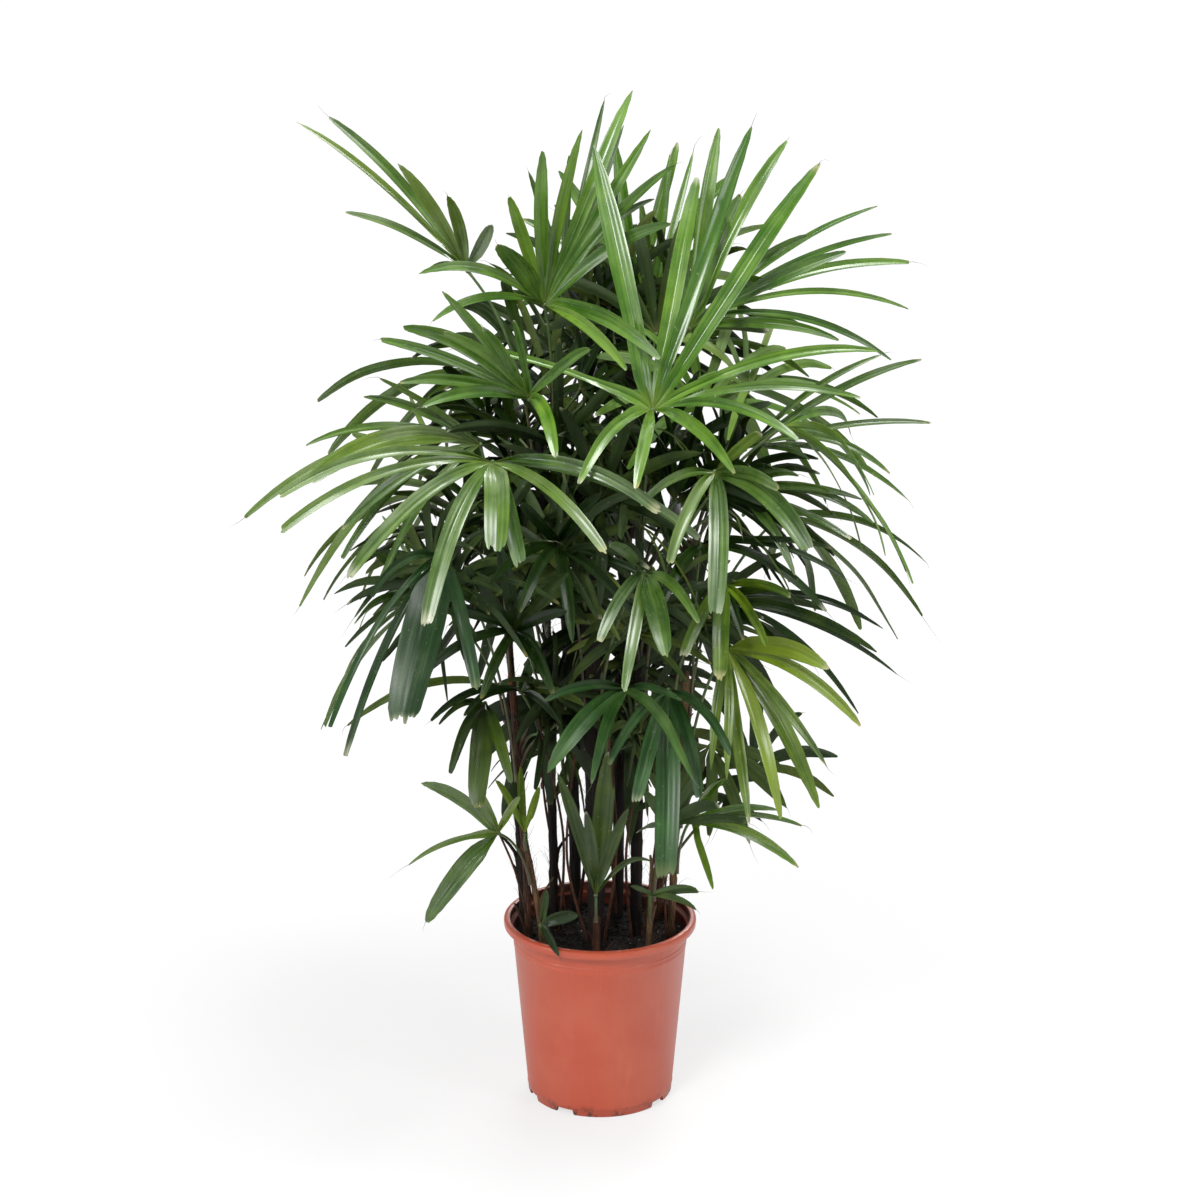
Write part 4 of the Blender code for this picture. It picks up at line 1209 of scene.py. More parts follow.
@dataclass
class BladeShape:
    """How one blade is laid on its outline, with small differences of its own."""

    form: BladeForm
    look: LeafLook
    chance: random.Random
    swell: float = 1.08
    profile: tuple[tuple[float, float, float], ...] = (  # shares of the length, and of the width if pointed or blunt
        *((0.0, 0.30, 0.30), (0.16, 0.62, 0.66), (0.32, 0.90, 0.93), (0.52, 1.0, 1.0)),
        *((0.70, 0.93, 1.0), (0.84, 0.70, 0.96), (0.94, 0.38, 0.88), (1.0, 0.10, 0.74)),
    )
    most_pleats: int = 8
    crease: float = 0.065  # a pleat's height as a share of the blade's width
    steep: float = 0.55  # how much more the blade is folded at its hub
    opened: float = 0.4  # the share of the length at which that is over
    hinge: float = 0.18  # how far from the midline the fold turns, as a share of the width
    toothed: float = 0.97  # the share of the length past which the end is toothed
    rounded: float = 0.5  # how far back the end's corners lie, against the width

    def __post_init__(self) -> None:
        """Draw this blade's own sway, waves, fold and end."""
        draw, length, pleats = self.chance.uniform, self.form.length, range(self.most_pleats)
        self.full = min(self.form.width, self.look.widest) * self.swell
        self.notch_at = self.form.base_share()
        self.sway = draw(-0.018, 0.018) * length
        self.wave = draw(0.002, 0.008) * length
        self.wave_start = draw(0.0, FULL_TURN)
        self.wave_count = draw(1.2, 2.4)
        self.fold = draw(0.14, 0.42)
        self.twist = draw(-0.45, 0.45)
        self.split = min(1.0, max(0.0, self.look.bluntness + draw(-0.25, 0.25)))
        self.teeth = [draw(0.10, 1.0) for _ in pleats]
        self.steps = [draw(-0.12, 0.12) for _ in pleats]
        self.ribs = [draw(0.2, 1.25) for _ in pleats]
        self.droop = draw(0.0, 0.05) * length
        self.slant = 6.0 * draw(-0.022, 0.022)
        self.pinch = draw(0.92, 1.06)

    def middle(self, t: float) -> Vector:
        """Return the midline's point at a share of the length."""
        rest = 1 - t
        return rest * rest * self.form.hub + 2 * rest * t * self.form.control + t * t * self.form.tip

    def ahead(self, t: float) -> Vector:
        """Return the midline's direction at a share of the length."""
        form = self.form
        return ((1 - t) * (form.control - form.hub) + t * (form.tip - form.control)).normalized()

    def side(self, t: float, ahead: Vector) -> Vector:
        """Find the direction across the blade.

        Args:
            t: The share of the length.
            ahead: The direction ahead there.

        Returns:
            The direction, square to the one ahead.
        """
        form = self.form
        spot = 0
        while spot < len(form.shares) - 2 and t > form.shares[spot + 1]:
            spot += 1
        low, high = form.shares[spot], form.shares[spot + 1]
        first, second = ((form.lefts[at] - form.rights[at]).normalized() for at in (spot, spot + 1))
        across = first.lerp(second, min(max((t - low) / (high - low), 0.0), 1.0))
        return (across - ahead * across.dot(ahead)).normalized()

    def share_of_width(self, t: float) -> float:
        """Find how wide the blade is.

        Args:
            t: The share of the length.

        Returns:
            The width as a share of the full one.
        """
        (low, *first), (high, *second) = next(
            (before, after) for before, after in zip(self.profile, self.profile[1:]) if t <= after[0]
        )
        pointed, blunt = (a + (b - a) * eased(t, low, high) for a, b in zip(first, second))
        return pointed + (blunt - pointed) * self.split

    def row(self, t: float) -> tuple[Vector, Vector, Vector, Vector]:
        """Find how the blade lies across.

        Args:
            t: The share of the length.

        Returns:
            The right and left edges and the outward and forward directions.
        """
        form, ahead = self.form, self.ahead(t)
        side = self.side(t, ahead)
        out = ahead.cross(side).normalized()
        turn = self.twist * max(0.0, t - 0.25)
        side, out = side * math.cos(turn) + out * math.sin(turn), out * math.cos(turn) - side * math.sin(turn)
        middle = self.middle(t)
        middle += side * (self.sway * math.sin(math.pi * t))
        middle += out * (self.wave * t * math.sin(self.wave_count * FULL_TURN * t + self.wave_start))
        middle -= UP * (self.droop * t**4)
        half = self.full * self.share_of_width(t) * self.pinch / 2
        right, left = middle - side * half, middle + side * half
        low, high = self.notch_at, max(form.shares[0], self.notch_at + 0.1)
        if t < high:  # here the blade still grows out of the fan between its notches
            reach = min(t / low, 1.0 + 0.6 * (t - low) / low)
            starts = (form.hub + (notch - form.hub) * reach for notch in form.notches)
            right, left = (start.lerp(edge, eased(t, low, high)) for start, edge in zip(starts, (right, left)))
        return right, left, out, ahead

    def end(self) -> tuple[Vector, Vector]:
        """Return the middle of the blade's end and the direction ahead there."""
        right, left, _, ahead = self.row(1.0)
        return (right + left) / 2, ahead

    def lay(self, blade: Shape, pleats: int) -> None:
        """Lay a copy of a model blade on the outline.

        Args:
            blade: The copy.
            pleats: How many pleats it has.
        """
        rows: dict[float, tuple[Vector, Vector, Vector, Vector]] = {}
        crease = self.crease * min(1.0, 3.5 / pleats) / pleats
        laid = []
        for x, y, z in points_of(blade):
            t = max(0.0, round(float(y), 4))
            if t not in rows:
                rows[t] = self.row(t)
            right, left, out, ahead = rows[t]
            fold = self.fold + self.steep * max(0.0, 1.0 - t / self.opened) ** 1.5
            fade = min(1.0, t / 0.10) * (1.0 - 0.5 * max(0.0, t - 0.85) / 0.15)  # flatter at both ends
            pleat = int((x + 0.5) * pleats - 1e-4)
            lift = (left - right).length * (fold * (abs(x) - self.hinge) + fade * self.ribs[pleat] * crease * z)
            place = left.lerp(right, x + 0.5) + out * lift
            if t > self.toothed:
                tooth = self.split * (0.7 / max(pleats, 3) * self.teeth[pleat] * z + self.steps[pleat])
                far = (t - self.toothed) / (1.0 - self.toothed)
                place += ahead * ((tooth - self.rounded * x * x + self.slant * x) * self.full * far)
            laid.append(place)
        move_points(blade, laid)


@dataclass
class LeafMaker:
    """Builds leaves: a pleated fan, the knob that it spreads from, its petiole and fine dry threads."""

    masters: BladeMasters
    stems: Shape
    knobs: Shape
    hairs: Shape
    sides: dict[LeafTone, tuple[Material, Material]]
    petiole: Material
    chance: random.Random
    thickness: float = 0.0004
    threaded: float = 0.35  # the share of the pointed blades that end in a thread
    thread: float = 0.0004  # a thread's radius at its start
    thread_reach: tuple[float, float] = (0.010, 0.032)
    rooted: float = 0.004  # how far behind the blade's end it starts
    slim: float = 0.0016  # the petiole's radius
    clasp: float = 0.03  # how high the petiole's wide foot reaches
    hub_swell: float = 0.0007  # how much wider the petiole is at the hub
    oval: float = 0.0002  # how far its section is from round
    knob: tuple[float, float] = (0.0024, 0.0032)  # the knob's radius without blades, and with many
    many: int = 9  # blades

    def build_fan(self, form: LeafForm) -> tuple[Shape, list[tuple[Vector, Vector]]]:
        """Build a leaf's blades as one thin closed sheet.

        Args:
            form: The leaf's form.

        Returns:
            The fan, and the place and direction of each blade's tip.
        """
        blades, tips = [], []
        leaf_tone = self.chance.uniform(-0.35, 0.35)
        for index, blade_form in enumerate(form.blades):
            shape = BladeShape(blade_form, form.look, self.chance)
            pleats, master = self.masters.pick(shape.full)
            blade = copy_of(master, f"{form.name}_blade_{index}")
            map_uv(blade, pleats, self.chance.randint(0, 60), 1)
            shape.lay(blade, pleats)
            set_tone(blade, leaf_tone + self.chance.uniform(-0.5, 0.5))
            blades.append(blade)
            tips.append(shape.end())
        fan = join(form.name, blades)
        dress(fan, *self.sides[form.look.tone])
        apply_modifier(fan, "SOLIDIFY", thickness=self.thickness, offset=0.0, material_offset=1, material_offset_rim=1)
        return fan, tips

    def build_threads(self, form: LeafForm, tips: list[tuple[Vector, Vector]]) -> list[Shape]:
        """Build the fine dry threads that some blades of a leaf with pointed ends run out in.

        Args:
            form: The leaf's form.
            tips: The place and direction of each blade's tip.

        Returns:
            The threads.
        """
        draw, threads = self.chance.uniform, []
        for index, (tip, ahead) in enumerate(tips if form.look.bluntness < 0.5 else ()):
            if self.chance.random() > self.threaded:
                continue
            reach = draw(*self.thread_reach)
            bend = Vector((draw(-0.4, 0.4), draw(-0.4, 0.4), draw(-0.5, 0.1))) * reach
            start = tip - ahead * self.rooted
            line = Line([start, start + ahead * reach * 0.5, start + ahead * reach + bend], 6)
            name = f"{form.name}_thread_{index}"
            thread = lay_tube(self.hairs, name, line, lambda share, _: self.thread * (1.1 - share))
            set_tone(thread, 0.0)
            dress(thread, self.petiole)
            threads.append(thread)
        return threads

    def build_stem(self, form: LeafForm) -> Shape:
        """Build a leaf's petiole with its clasping foot and the knob at its top.

        Args:
            form: The leaf's form.

        Returns:
            The petiole and the knob as one object.
        """
        foot = min(self.clasp / path_length(form.stem), 0.5)

        def radius(share: float, angle: float) -> float:
            """Return the petiole's radius: wide at its foot, slim above and a little wider at the hub."""
            wide = self.slim * max(0.0, 1 - share / foot) ** 1.5 + self.hub_swell * max(0.0, (share - 0.95) / 0.05)
            return self.slim + wide + self.oval * math.cos(2 * angle)

        stem = lay_tube(self.stems, form.name + "_stem", Line(form.stem), radius)
        knob = copy_of(self.knobs, form.name + "_knob")
        turn = UP.rotation_difference((form.stem[-1] - form.stem[-2]).normalized()).to_matrix()
        least, most = self.knob
        size = least + (most - least) * min(1.0, len(form.blades) / self.many)
        move_points(knob, [form.stem[-1] + turn @ (Vector(point) * size) for point in points_of(knob)])
        both = join(form.name + "_stem", [stem, knob])
        set_tone(both, self.chance.uniform(-0.3, 0.3))
        dress(both, self.petiole)
        return both

    def build(self, form: LeafForm, *nodes: str) -> None:
        """Build a whole leaf and hand it over.

        Args:
            form: The leaf's form.
            nodes: The frame nodes that it stands for.
        """
        fan, tips = self.build_fan(form)
        stem = self.build_stem(form)
        leaf = join(form.name, [fan, stem, *self.build_threads(form, tips)])
        hand_over(leaf, form.slot, 60, *nodes)


def heading(azimuth: float, rise: float = 0.0) -> Vector:
    """Return the direction at an azimuth from +X towards +Y and a rise from the level, both in degrees."""
    around, up = math.radians(azimuth), math.radians(rise)
    return Vector((math.cos(around) * math.cos(up), math.sin(around) * math.cos(up), math.sin(up)))


@dataclass(frozen=True)
class LeafPlan:
    """Where an extra leaf goes and how it spreads."""

    start: Vector
    hub: Vector
    azimuth: float  # degrees, the way that its face looks, from +X towards +Y
    rise: float  # degrees, how far its face looks up
    length: float
    blades: int
    span: float  # degrees between its outer blades
    tone: LeafTone
    width: tuple[float, float]
    hangs: bool = False  # whether its blades point down
    notch: float = 0.016  # how far from the hub its blades part
    # How far a blade reaches in the leaf's plane, forward and down, and how high it arches, as shares of its length
    reach: float = 0.88
    forward: float = 0.25
    sag: float = 0.22
    arch: float = 0.16
    bow: float = 0.02  # how far its petiole rises over a straight line

    def blade(self, turn: float, half_step: float, size: float, width: float) -> BladeForm:
        """Return one blade's form.

        Args:
            turn: Its angle in the leaf's plane, in radians from straight across.
            half_step: Half the angle to the next blade.
            size: Its length.
            width: Its width.
        """
        hub, facing = self.hub, heading(self.azimuth, self.rise)
        across = facing.cross(UP).normalized()
        upward = across.cross(facing).normalized()

        def way(angle: float) -> Vector:
            """Return the direction in the leaf's plane at an angle."""
            return across * math.cos(angle) + upward * math.sin(angle)

        tip = hub + way(turn) * size * self.reach + facing * size * self.forward - UP * (self.sag * size)
        control = (hub + tip) / 2 + (facing * 0.5 + UP) * size * self.arch
        swings = (way(turn + swing) + facing * 0.3 for swing in (-half_step, half_step))
        notches = tuple(hub + swing.normalized() * self.notch for swing in swings)
        half = way(turn).cross(facing).normalized() * (width / 2)
        shares = OutlineReader.LONG_SHARES
        places = [(1 - t) ** 2 * hub + 2 * t * (1 - t) * control + t * t * tip for t in shares]
        return BladeForm(hub, notches, shares, tuple(at - half for at in places), tuple(at + half for at in places))

    def form(self, name: str, chance: random.Random) -> LeafForm:
        """Return the leaf's form.

        Args:
            name: The leaf's name.
            chance: Where its blades' differences are drawn from.
        """
        places = ((self.start.lerp(self.hub, t), math.sin(math.pi * t) * (1 - t)) for t in (0, 0.25, 0.5, 0.75, 1))
        stem = [place + UP * (self.bow * bend) for place, bend in places]
        span = math.radians(self.span)
        half_step = span / (self.blades - 1) / 2
        first = (-math.pi if self.hangs else math.pi) / 2 + span / 2
        blades = []
        for index in range(self.blades):
            turn = first - 2 * half_step * index + chance.uniform(-0.3, 0.3) * half_step
            full = 0.75 + 0.25 * math.sin(math.pi * (index + 0.5) / self.blades)
            size = self.length * full * chance.uniform(0.82, 1.06)
            blades.append(self.blade(turn, half_step, size, chance.uniform(*self.width)))
        return LeafForm(name, self.tone.slot, LeafLook(self.tone, chance.uniform(0.1, 0.5)), stem, blades)


# The deep green of most of these leaves, inside the crown and low down, is partly painted shade; the bright green is
# partly painted light.
# Each larger extra leaf's hub, azimuth, rise, length, blades, span and green, as LeafPlan has them
CROWN_LEAVES = (
    ((0.124, 0.060, 0.868), -60, 38, 0.22, 9, 210, LeafTone.BRIGHT),
    ((0.068, 0.090, 0.948), -90, 22, 0.24, 8, 150, LeafTone.DEEP),
    ((-0.060, 0.080, 0.879), -115, 32, 0.21, 9, 220, LeafTone.DEEP),
    ((0.011, 0.120, 0.976), -90, 12, 0.22, 7, 120, LeafTone.DEEP),
    ((0.183, 0.100, 0.882), -40, 45, 0.20, 8, 220, LeafTone.BRIGHT),
    ((-0.102, 0.060, 0.796), -130, 40, 0.20, 9, 220, LeafTone.DEEP),
    ((0.120, 0.150, 0.930), 60, 30, 0.22, 8, 200, LeafTone.BRIGHT),
    ((-0.090, 0.150, 0.900), 120, 30, 0.21, 8, 200, LeafTone.GREEN),
    ((0.190, 0.040, 0.413), -60, 35, 0.15, 8, 230, LeafTone.DEEP),
    ((0.113, 0.020, 0.385), -60, 40, 0.12, 8, 230, LeafTone.DEEP),
    ((-0.070, 0.050, 0.430), 150, 40, 0.13, 8, 230, LeafTone.DEEP),
)
HANGING_LEAVES = (
    ((0.040, 0.030, 0.510), -90, 15, 0.17, 5, 90, LeafTone.DEEP),
    ((-0.060, 0.020, 0.505), -110, 20, 0.13, 6, 160, LeafTone.DEEP),
    ((0.135, 0.000, 0.455), -70, 20, 0.12, 6, 170, LeafTone.OLIVE),
    ((0.030, 0.110, 0.520), 80, 15, 0.16, 6, 140, LeafTone.DEEP),
)


@dataclass
class ExtraFoliage:
    """Leaves without a frame node: small ones deep in the crown and a few larger ones behind its front."""

    maker: LeafMaker
    canes: list[list[Vector]]
    count: int = 76
    lowest: float = 0.42
    highest: float = 1.00
    slim_below: float = 0.62  # the height below which the small leaves are shorter
    shorter: float = 0.7  # how much shorter
    below_top: float = 0.03  # how far below its cane's top a small leaf starts at least
    # The least and greatest way out and up to a small leaf's hub, length, count of blades, rise, span and width
    way: tuple[float, float] = (0.04, 0.10)
    lengths: tuple[float, float] = (0.15, 0.22)
    blades: tuple[int, int] = (7, 10)
    rises: tuple[float, float] = (12, 42)
    spans: tuple[float, float] = (210, 290)
    widths: tuple[float, float] = (0.006, 0.013)
    golden_share: float = 0.618034
    golden_angle: float = 2.39996

    @staticmethod
    def spot_on(cane: list[Vector], height: float) -> Vector:
        """Return about the place on a cane at a height, at the most 2 cm below its top."""
        near = min(cane, key=lambda point: abs(point.z - height))
        return Vector((near.x, near.y, min(height, cane[-1].z - 0.02)))

    def inner(self, index: int) -> LeafPlan:
        """Plan one small leaf that grows out from a cane.

        Args:
            index: The leaf's number.

        Returns:
            The plan.
        """
        chance, cane = self.maker.chance, self.canes[index % len(self.canes)]
        share = (self.golden_share * index) % 1.0
        height = min(self.lowest + (self.highest - self.lowest) * share, cane[-1].z - self.below_top)
        start = self.spot_on(cane, height)
        azimuth = math.degrees(index * self.golden_angle + chance.uniform(-0.3, 0.3))
        low = self.shorter if height < self.slim_below else 1.0
        hub = start + heading(azimuth) * chance.uniform(*self.way) * low + UP * chance.uniform(*self.way)
        # Painted shade: the small leaves inside the crown mostly take the deep green.
        tone = chance.choice((LeafTone.DEEP,) * 5 + (LeafTone.OLIVE,))
        length, blades = chance.uniform(*self.lengths) * low, chance.randint(*self.blades)
        rise, span = chance.uniform(*self.rises), chance.uniform(*self.spans)
        return LeafPlan(start, hub, azimuth, rise, length, blades, span, tone, self.widths)

    def build(self) -> None:
        """Build every extra leaf."""
        plans = [self.inner(index) for index in range(self.count)]
        for rows, drop, width, hangs in (
            (CROWN_LEAVES, 0.16, (0.008, 0.016), False),
            (HANGING_LEAVES, 0.10, (0.013, 0.026), True),
        ):
            for place, *spread in rows:
                hub = Vector(place)
                spots = [self.spot_on(cane, hub.z - drop) for cane in self.canes]
                start = min(spots, key=lambda spot: (spot - hub).length)
                plans.append(LeafPlan(start, hub, *spread, width, hangs))
        for index, plan in enumerate(plans):
            self.maker.build(plan.form(f"fan_inner_{index + 1}", self.maker.chance))


# ---------------------------------------------------------------- canes


@dataclass
class CaneMaker:
    """Builds canes: stems wrapped in overlapping sheaths of woven fibre, with torn stubs and loose hairs."""

    tubes: Shape
    hairs: Shape
    stubs: Shape
    barks: dict[str, Material]
    chance: random.Random
    sheath_step: float = 0.034  # about the height of a sheath, in metres
    slant: float = 0.10  # how far a sheath's edge dips on one side, as a share of its height
    flare: float = 0.17
    hidden: float = 0.3  # the share of the radius past the last sheath
    weave: float = 0.004  # the radius for which the fibre's pattern goes round once
    smooth: int = 50  # degrees
    # Stubs and hairs: how many a cane has and more for each metre, where they lie along it, how far they reach
    # and how thick they are
    stubs_base: int = 2
    stubs_per_metre: int = 9
    stub_shares: tuple[float, float] = (0.12, 0.93)
    stub_reach: tuple[float, float] = (0.018, 0.055)
    stub_thick: tuple[float, float] = (0.0012, 0.0024)
    hairs_base: int = 60
    hairs_per_metre: int = 170
    hair_shares: tuple[float, float] = (0.02, 0.97)
    hair_reach: tuple[float, float] = (0.012, 0.040)
    hair_thick: tuple[float, float] = (0.00012, 0.00028)

    def build_core(self, name: str, line: Line, radius: float) -> Shape:
        """Build a cane's body: sheaths that each open a little over the next.

        Args:
            name: The piece's name.
            line: The cane's middle line.
            radius: Its mean radius.

        Returns:
            The body.
        """
        tops = []
        height = 0.0
        while height < line.length:
            height += self.sheath_step * self.chance.uniform(0.6, 1.5)
            tops.append((height / line.length, self.chance.uniform(0.5, 1.3), self.chance.uniform(0.0, FULL_TURN)))

        def swell(share: float, angle: float) -> float:
            """Find the radius, which is widest at each sheath's torn top edge.

            Args:
                share: The share of the length.
                angle: The angle round the cane.

            Returns:
                The radius.
            """
            low = 0.0
            for top, strength, start in tops:
                edge = top - self.slant * (top - low) * (1 + math.sin(angle + start))
                if share <= edge:
                    part = (share - low) / max(edge - low, 1e-6)
                    ripple = 0.04 * math.sin(3 * angle + start) + 0.03 * math.sin(7 * angle + 2 * start)
                    taper = min(1.0, 0.35 + (1.0 - share) * 14)
                    return radius * (0.88 + self.flare * strength * part**2.5 + ripple) * taper
                low = edge
            return radius * self.hidden

        return lay_tube(self.tubes, name, line, swell, turns=max(1.0, radius / self.weave))

    def spots(self, count: int, low: float, high: float, line: Line) -> Iterator[tuple[Vector, Vector, Vector]]:
        """Draw places on a cane.

        Args:
            count: How many there are.
            low: The least share of the length at which they lie.
            high: The greatest share.
            line: The cane's middle line.

        Yields:
            Each place's point on the middle line and its directions outward and ahead.
        """
        for _ in range(count):
            place, side, ahead = line.frame(self.chance.uniform(low, high))
            yield place, outward(side, ahead, self.chance.uniform(0.0, FULL_TURN)), ahead

    def build_hairs(self, name: str, line: Line, radius: float) -> list[Shape]:
        """Build loose fibres that stand off a cane.

        Args:
            name: The cane's name.
            line: The cane's middle line.
            radius: The cane's radius.

        Returns:
            The fibres.
        """
        draw, hairs = self.chance.uniform, []
        count = int(self.hairs_base + self.hairs_per_metre * line.length)
        for index, (place, out, ahead) in enumerate(self.spots(count, *self.hair_shares, line)):
            reach, lean = draw(*self.hair_reach), draw(-0.6, 0.6)
            aside = ahead.cross(out) * lean
            start = place + out * radius * 0.85
            middle = start + (ahead * 0.5 + out * draw(0.1, 0.4) + aside * 0.4) * reach
            end = start + (ahead * draw(0.3, 1.0) + out * draw(0.1, 0.5) + aside) * reach
            thick = draw(*self.hair_thick)
            path = Line([start, middle, end], 4)
            hairs.append(lay_tube(self.hairs, f"{name}_hair_{index}", path, lambda share, _: thick * (1.05 - share)))
        return hairs

    def build_stubs(self, name: str, line: Line, radius: float) -> list[Shape]:
        """Build the torn bases of old leaf stalks, which lean away from a cane.

        Args:
            name: The cane's name.
            line: The cane's middle line.
            radius: The cane's radius.

        Returns:
            The stubs.
        """
        draw, stubs = self.chance.uniform, []
        count = int(self.stubs_base + self.stubs_per_metre * line.length)
        for index, (place, out, ahead) in enumerate(self.spots(count, *self.stub_shares, line)):
            reach = draw(*self.stub_reach)
            start = place + out * radius * 0.6
            middle = start + (ahead + out * draw(0.10, 0.25)) * reach * 0.5
            end = start + (ahead + out * draw(0.20, 0.50)) * reach
            thick = draw(*self.stub_thick)

            def torn(share: float, angle: float) -> float:
                """Return the stub's radius: a flattened stalk that thins towards its end."""
                return thick * (1.25 - 0.75 * share + 0.15 * math.sin(2 * angle))

            stubs.append(lay_tube(self.stubs, f"{name}_stub_{index}", Line([start, middle, end], 6), torn))
        return stubs

    def build(self, node: str, tone: str) -> list[Vector]:
        """Build a cane over its frame node.

        Args:
            node: The frame node.
            tone: The cane's colour.

        Returns:
            The points of its middle line.
        """
        points, radius = middle_line(bpy.data.objects[node])
        name = node.replace("cane_", "stem_")
        line = Line(points, 60)
        core = self.build_core(name, line, radius * 0.98)
        stubs = self.build_stubs(name, line, radius)
        cane = join(name, [core, *stubs, *self.build_hairs(name, line, radius)])
        dress(cane, self.barks[tone])
        hand_over(cane, f"cane_{tone}", self.smooth, node)
        return points


@dataclass
class DryStalks:
    """Thin dead petioles and torn sheath stubs that stand among the canes."""

    tubes: Shape
    material: Material
    lines: tuple[tuple[Point, Point, Point, float], ...] = (
        ((-0.083, -0.020, 0.20), (-0.105, -0.060, 0.32), (-0.150, -0.075, 0.43), 0.0014),
        ((-0.052, 0.000, 0.20), (-0.045, -0.050, 0.36), (-0.075, -0.075, 0.52), 0.0016),
        ((-0.012, -0.030, 0.20), (-0.040, -0.060, 0.33), (-0.030, -0.080, 0.47), 0.0016),
        ((0.004, -0.032, 0.20), (0.020, -0.070, 0.35), (0.010, -0.090, 0.50), 0.0017),
        ((0.040, -0.015, 0.20), (0.032, -0.055, 0.34), (0.055, -0.080, 0.49), 0.0016),
        ((0.052, -0.010, 0.20), (0.070, -0.040, 0.36), (0.085, -0.060, 0.52), 0.0015),
        ((0.084, -0.024, 0.20), (0.080, -0.060, 0.30), (0.100, -0.080, 0.40), 0.0013),
        ((-0.030, 0.045, 0.20), (-0.010, 0.020, 0.40), (-0.030, 0.000, 0.60), 0.0018),
        ((0.022, 0.045, 0.20), (0.010, 0.020, 0.42), (0.030, 0.000, 0.62), 0.0018),
        ((0.070, 0.050, 0.20), (0.100, 0.080, 0.36), (0.120, 0.120, 0.50), 0.0016),
        ((-0.040, 0.060, 0.20), (-0.070, 0.090, 0.35), (-0.080, 0.130, 0.50), 0.0016),
        ((0.000, 0.020, 0.20), (-0.012, 0.010, 0.34), (-0.004, 0.020, 0.50), 0.0022),
    )
    smooth: int = 50  # degrees

    def build(self) -> None:
        """Build the stalks as one piece."""
        stalks = []
        for index, (*places, thick) in enumerate(self.lines):
            line = Line([Vector(place) for place in places])
            stalks.append(lay_tube(self.tubes, f"stalk_{index}", line, lambda share, _: thick * (1.3 - 0.5 * share)))
        piece = join("dry_stalks", stalks)
        dress(piece, self.material)
        hand_over(piece, "cane_brown", self.smooth)


# ---------------------------------------------------------------- pot and soil


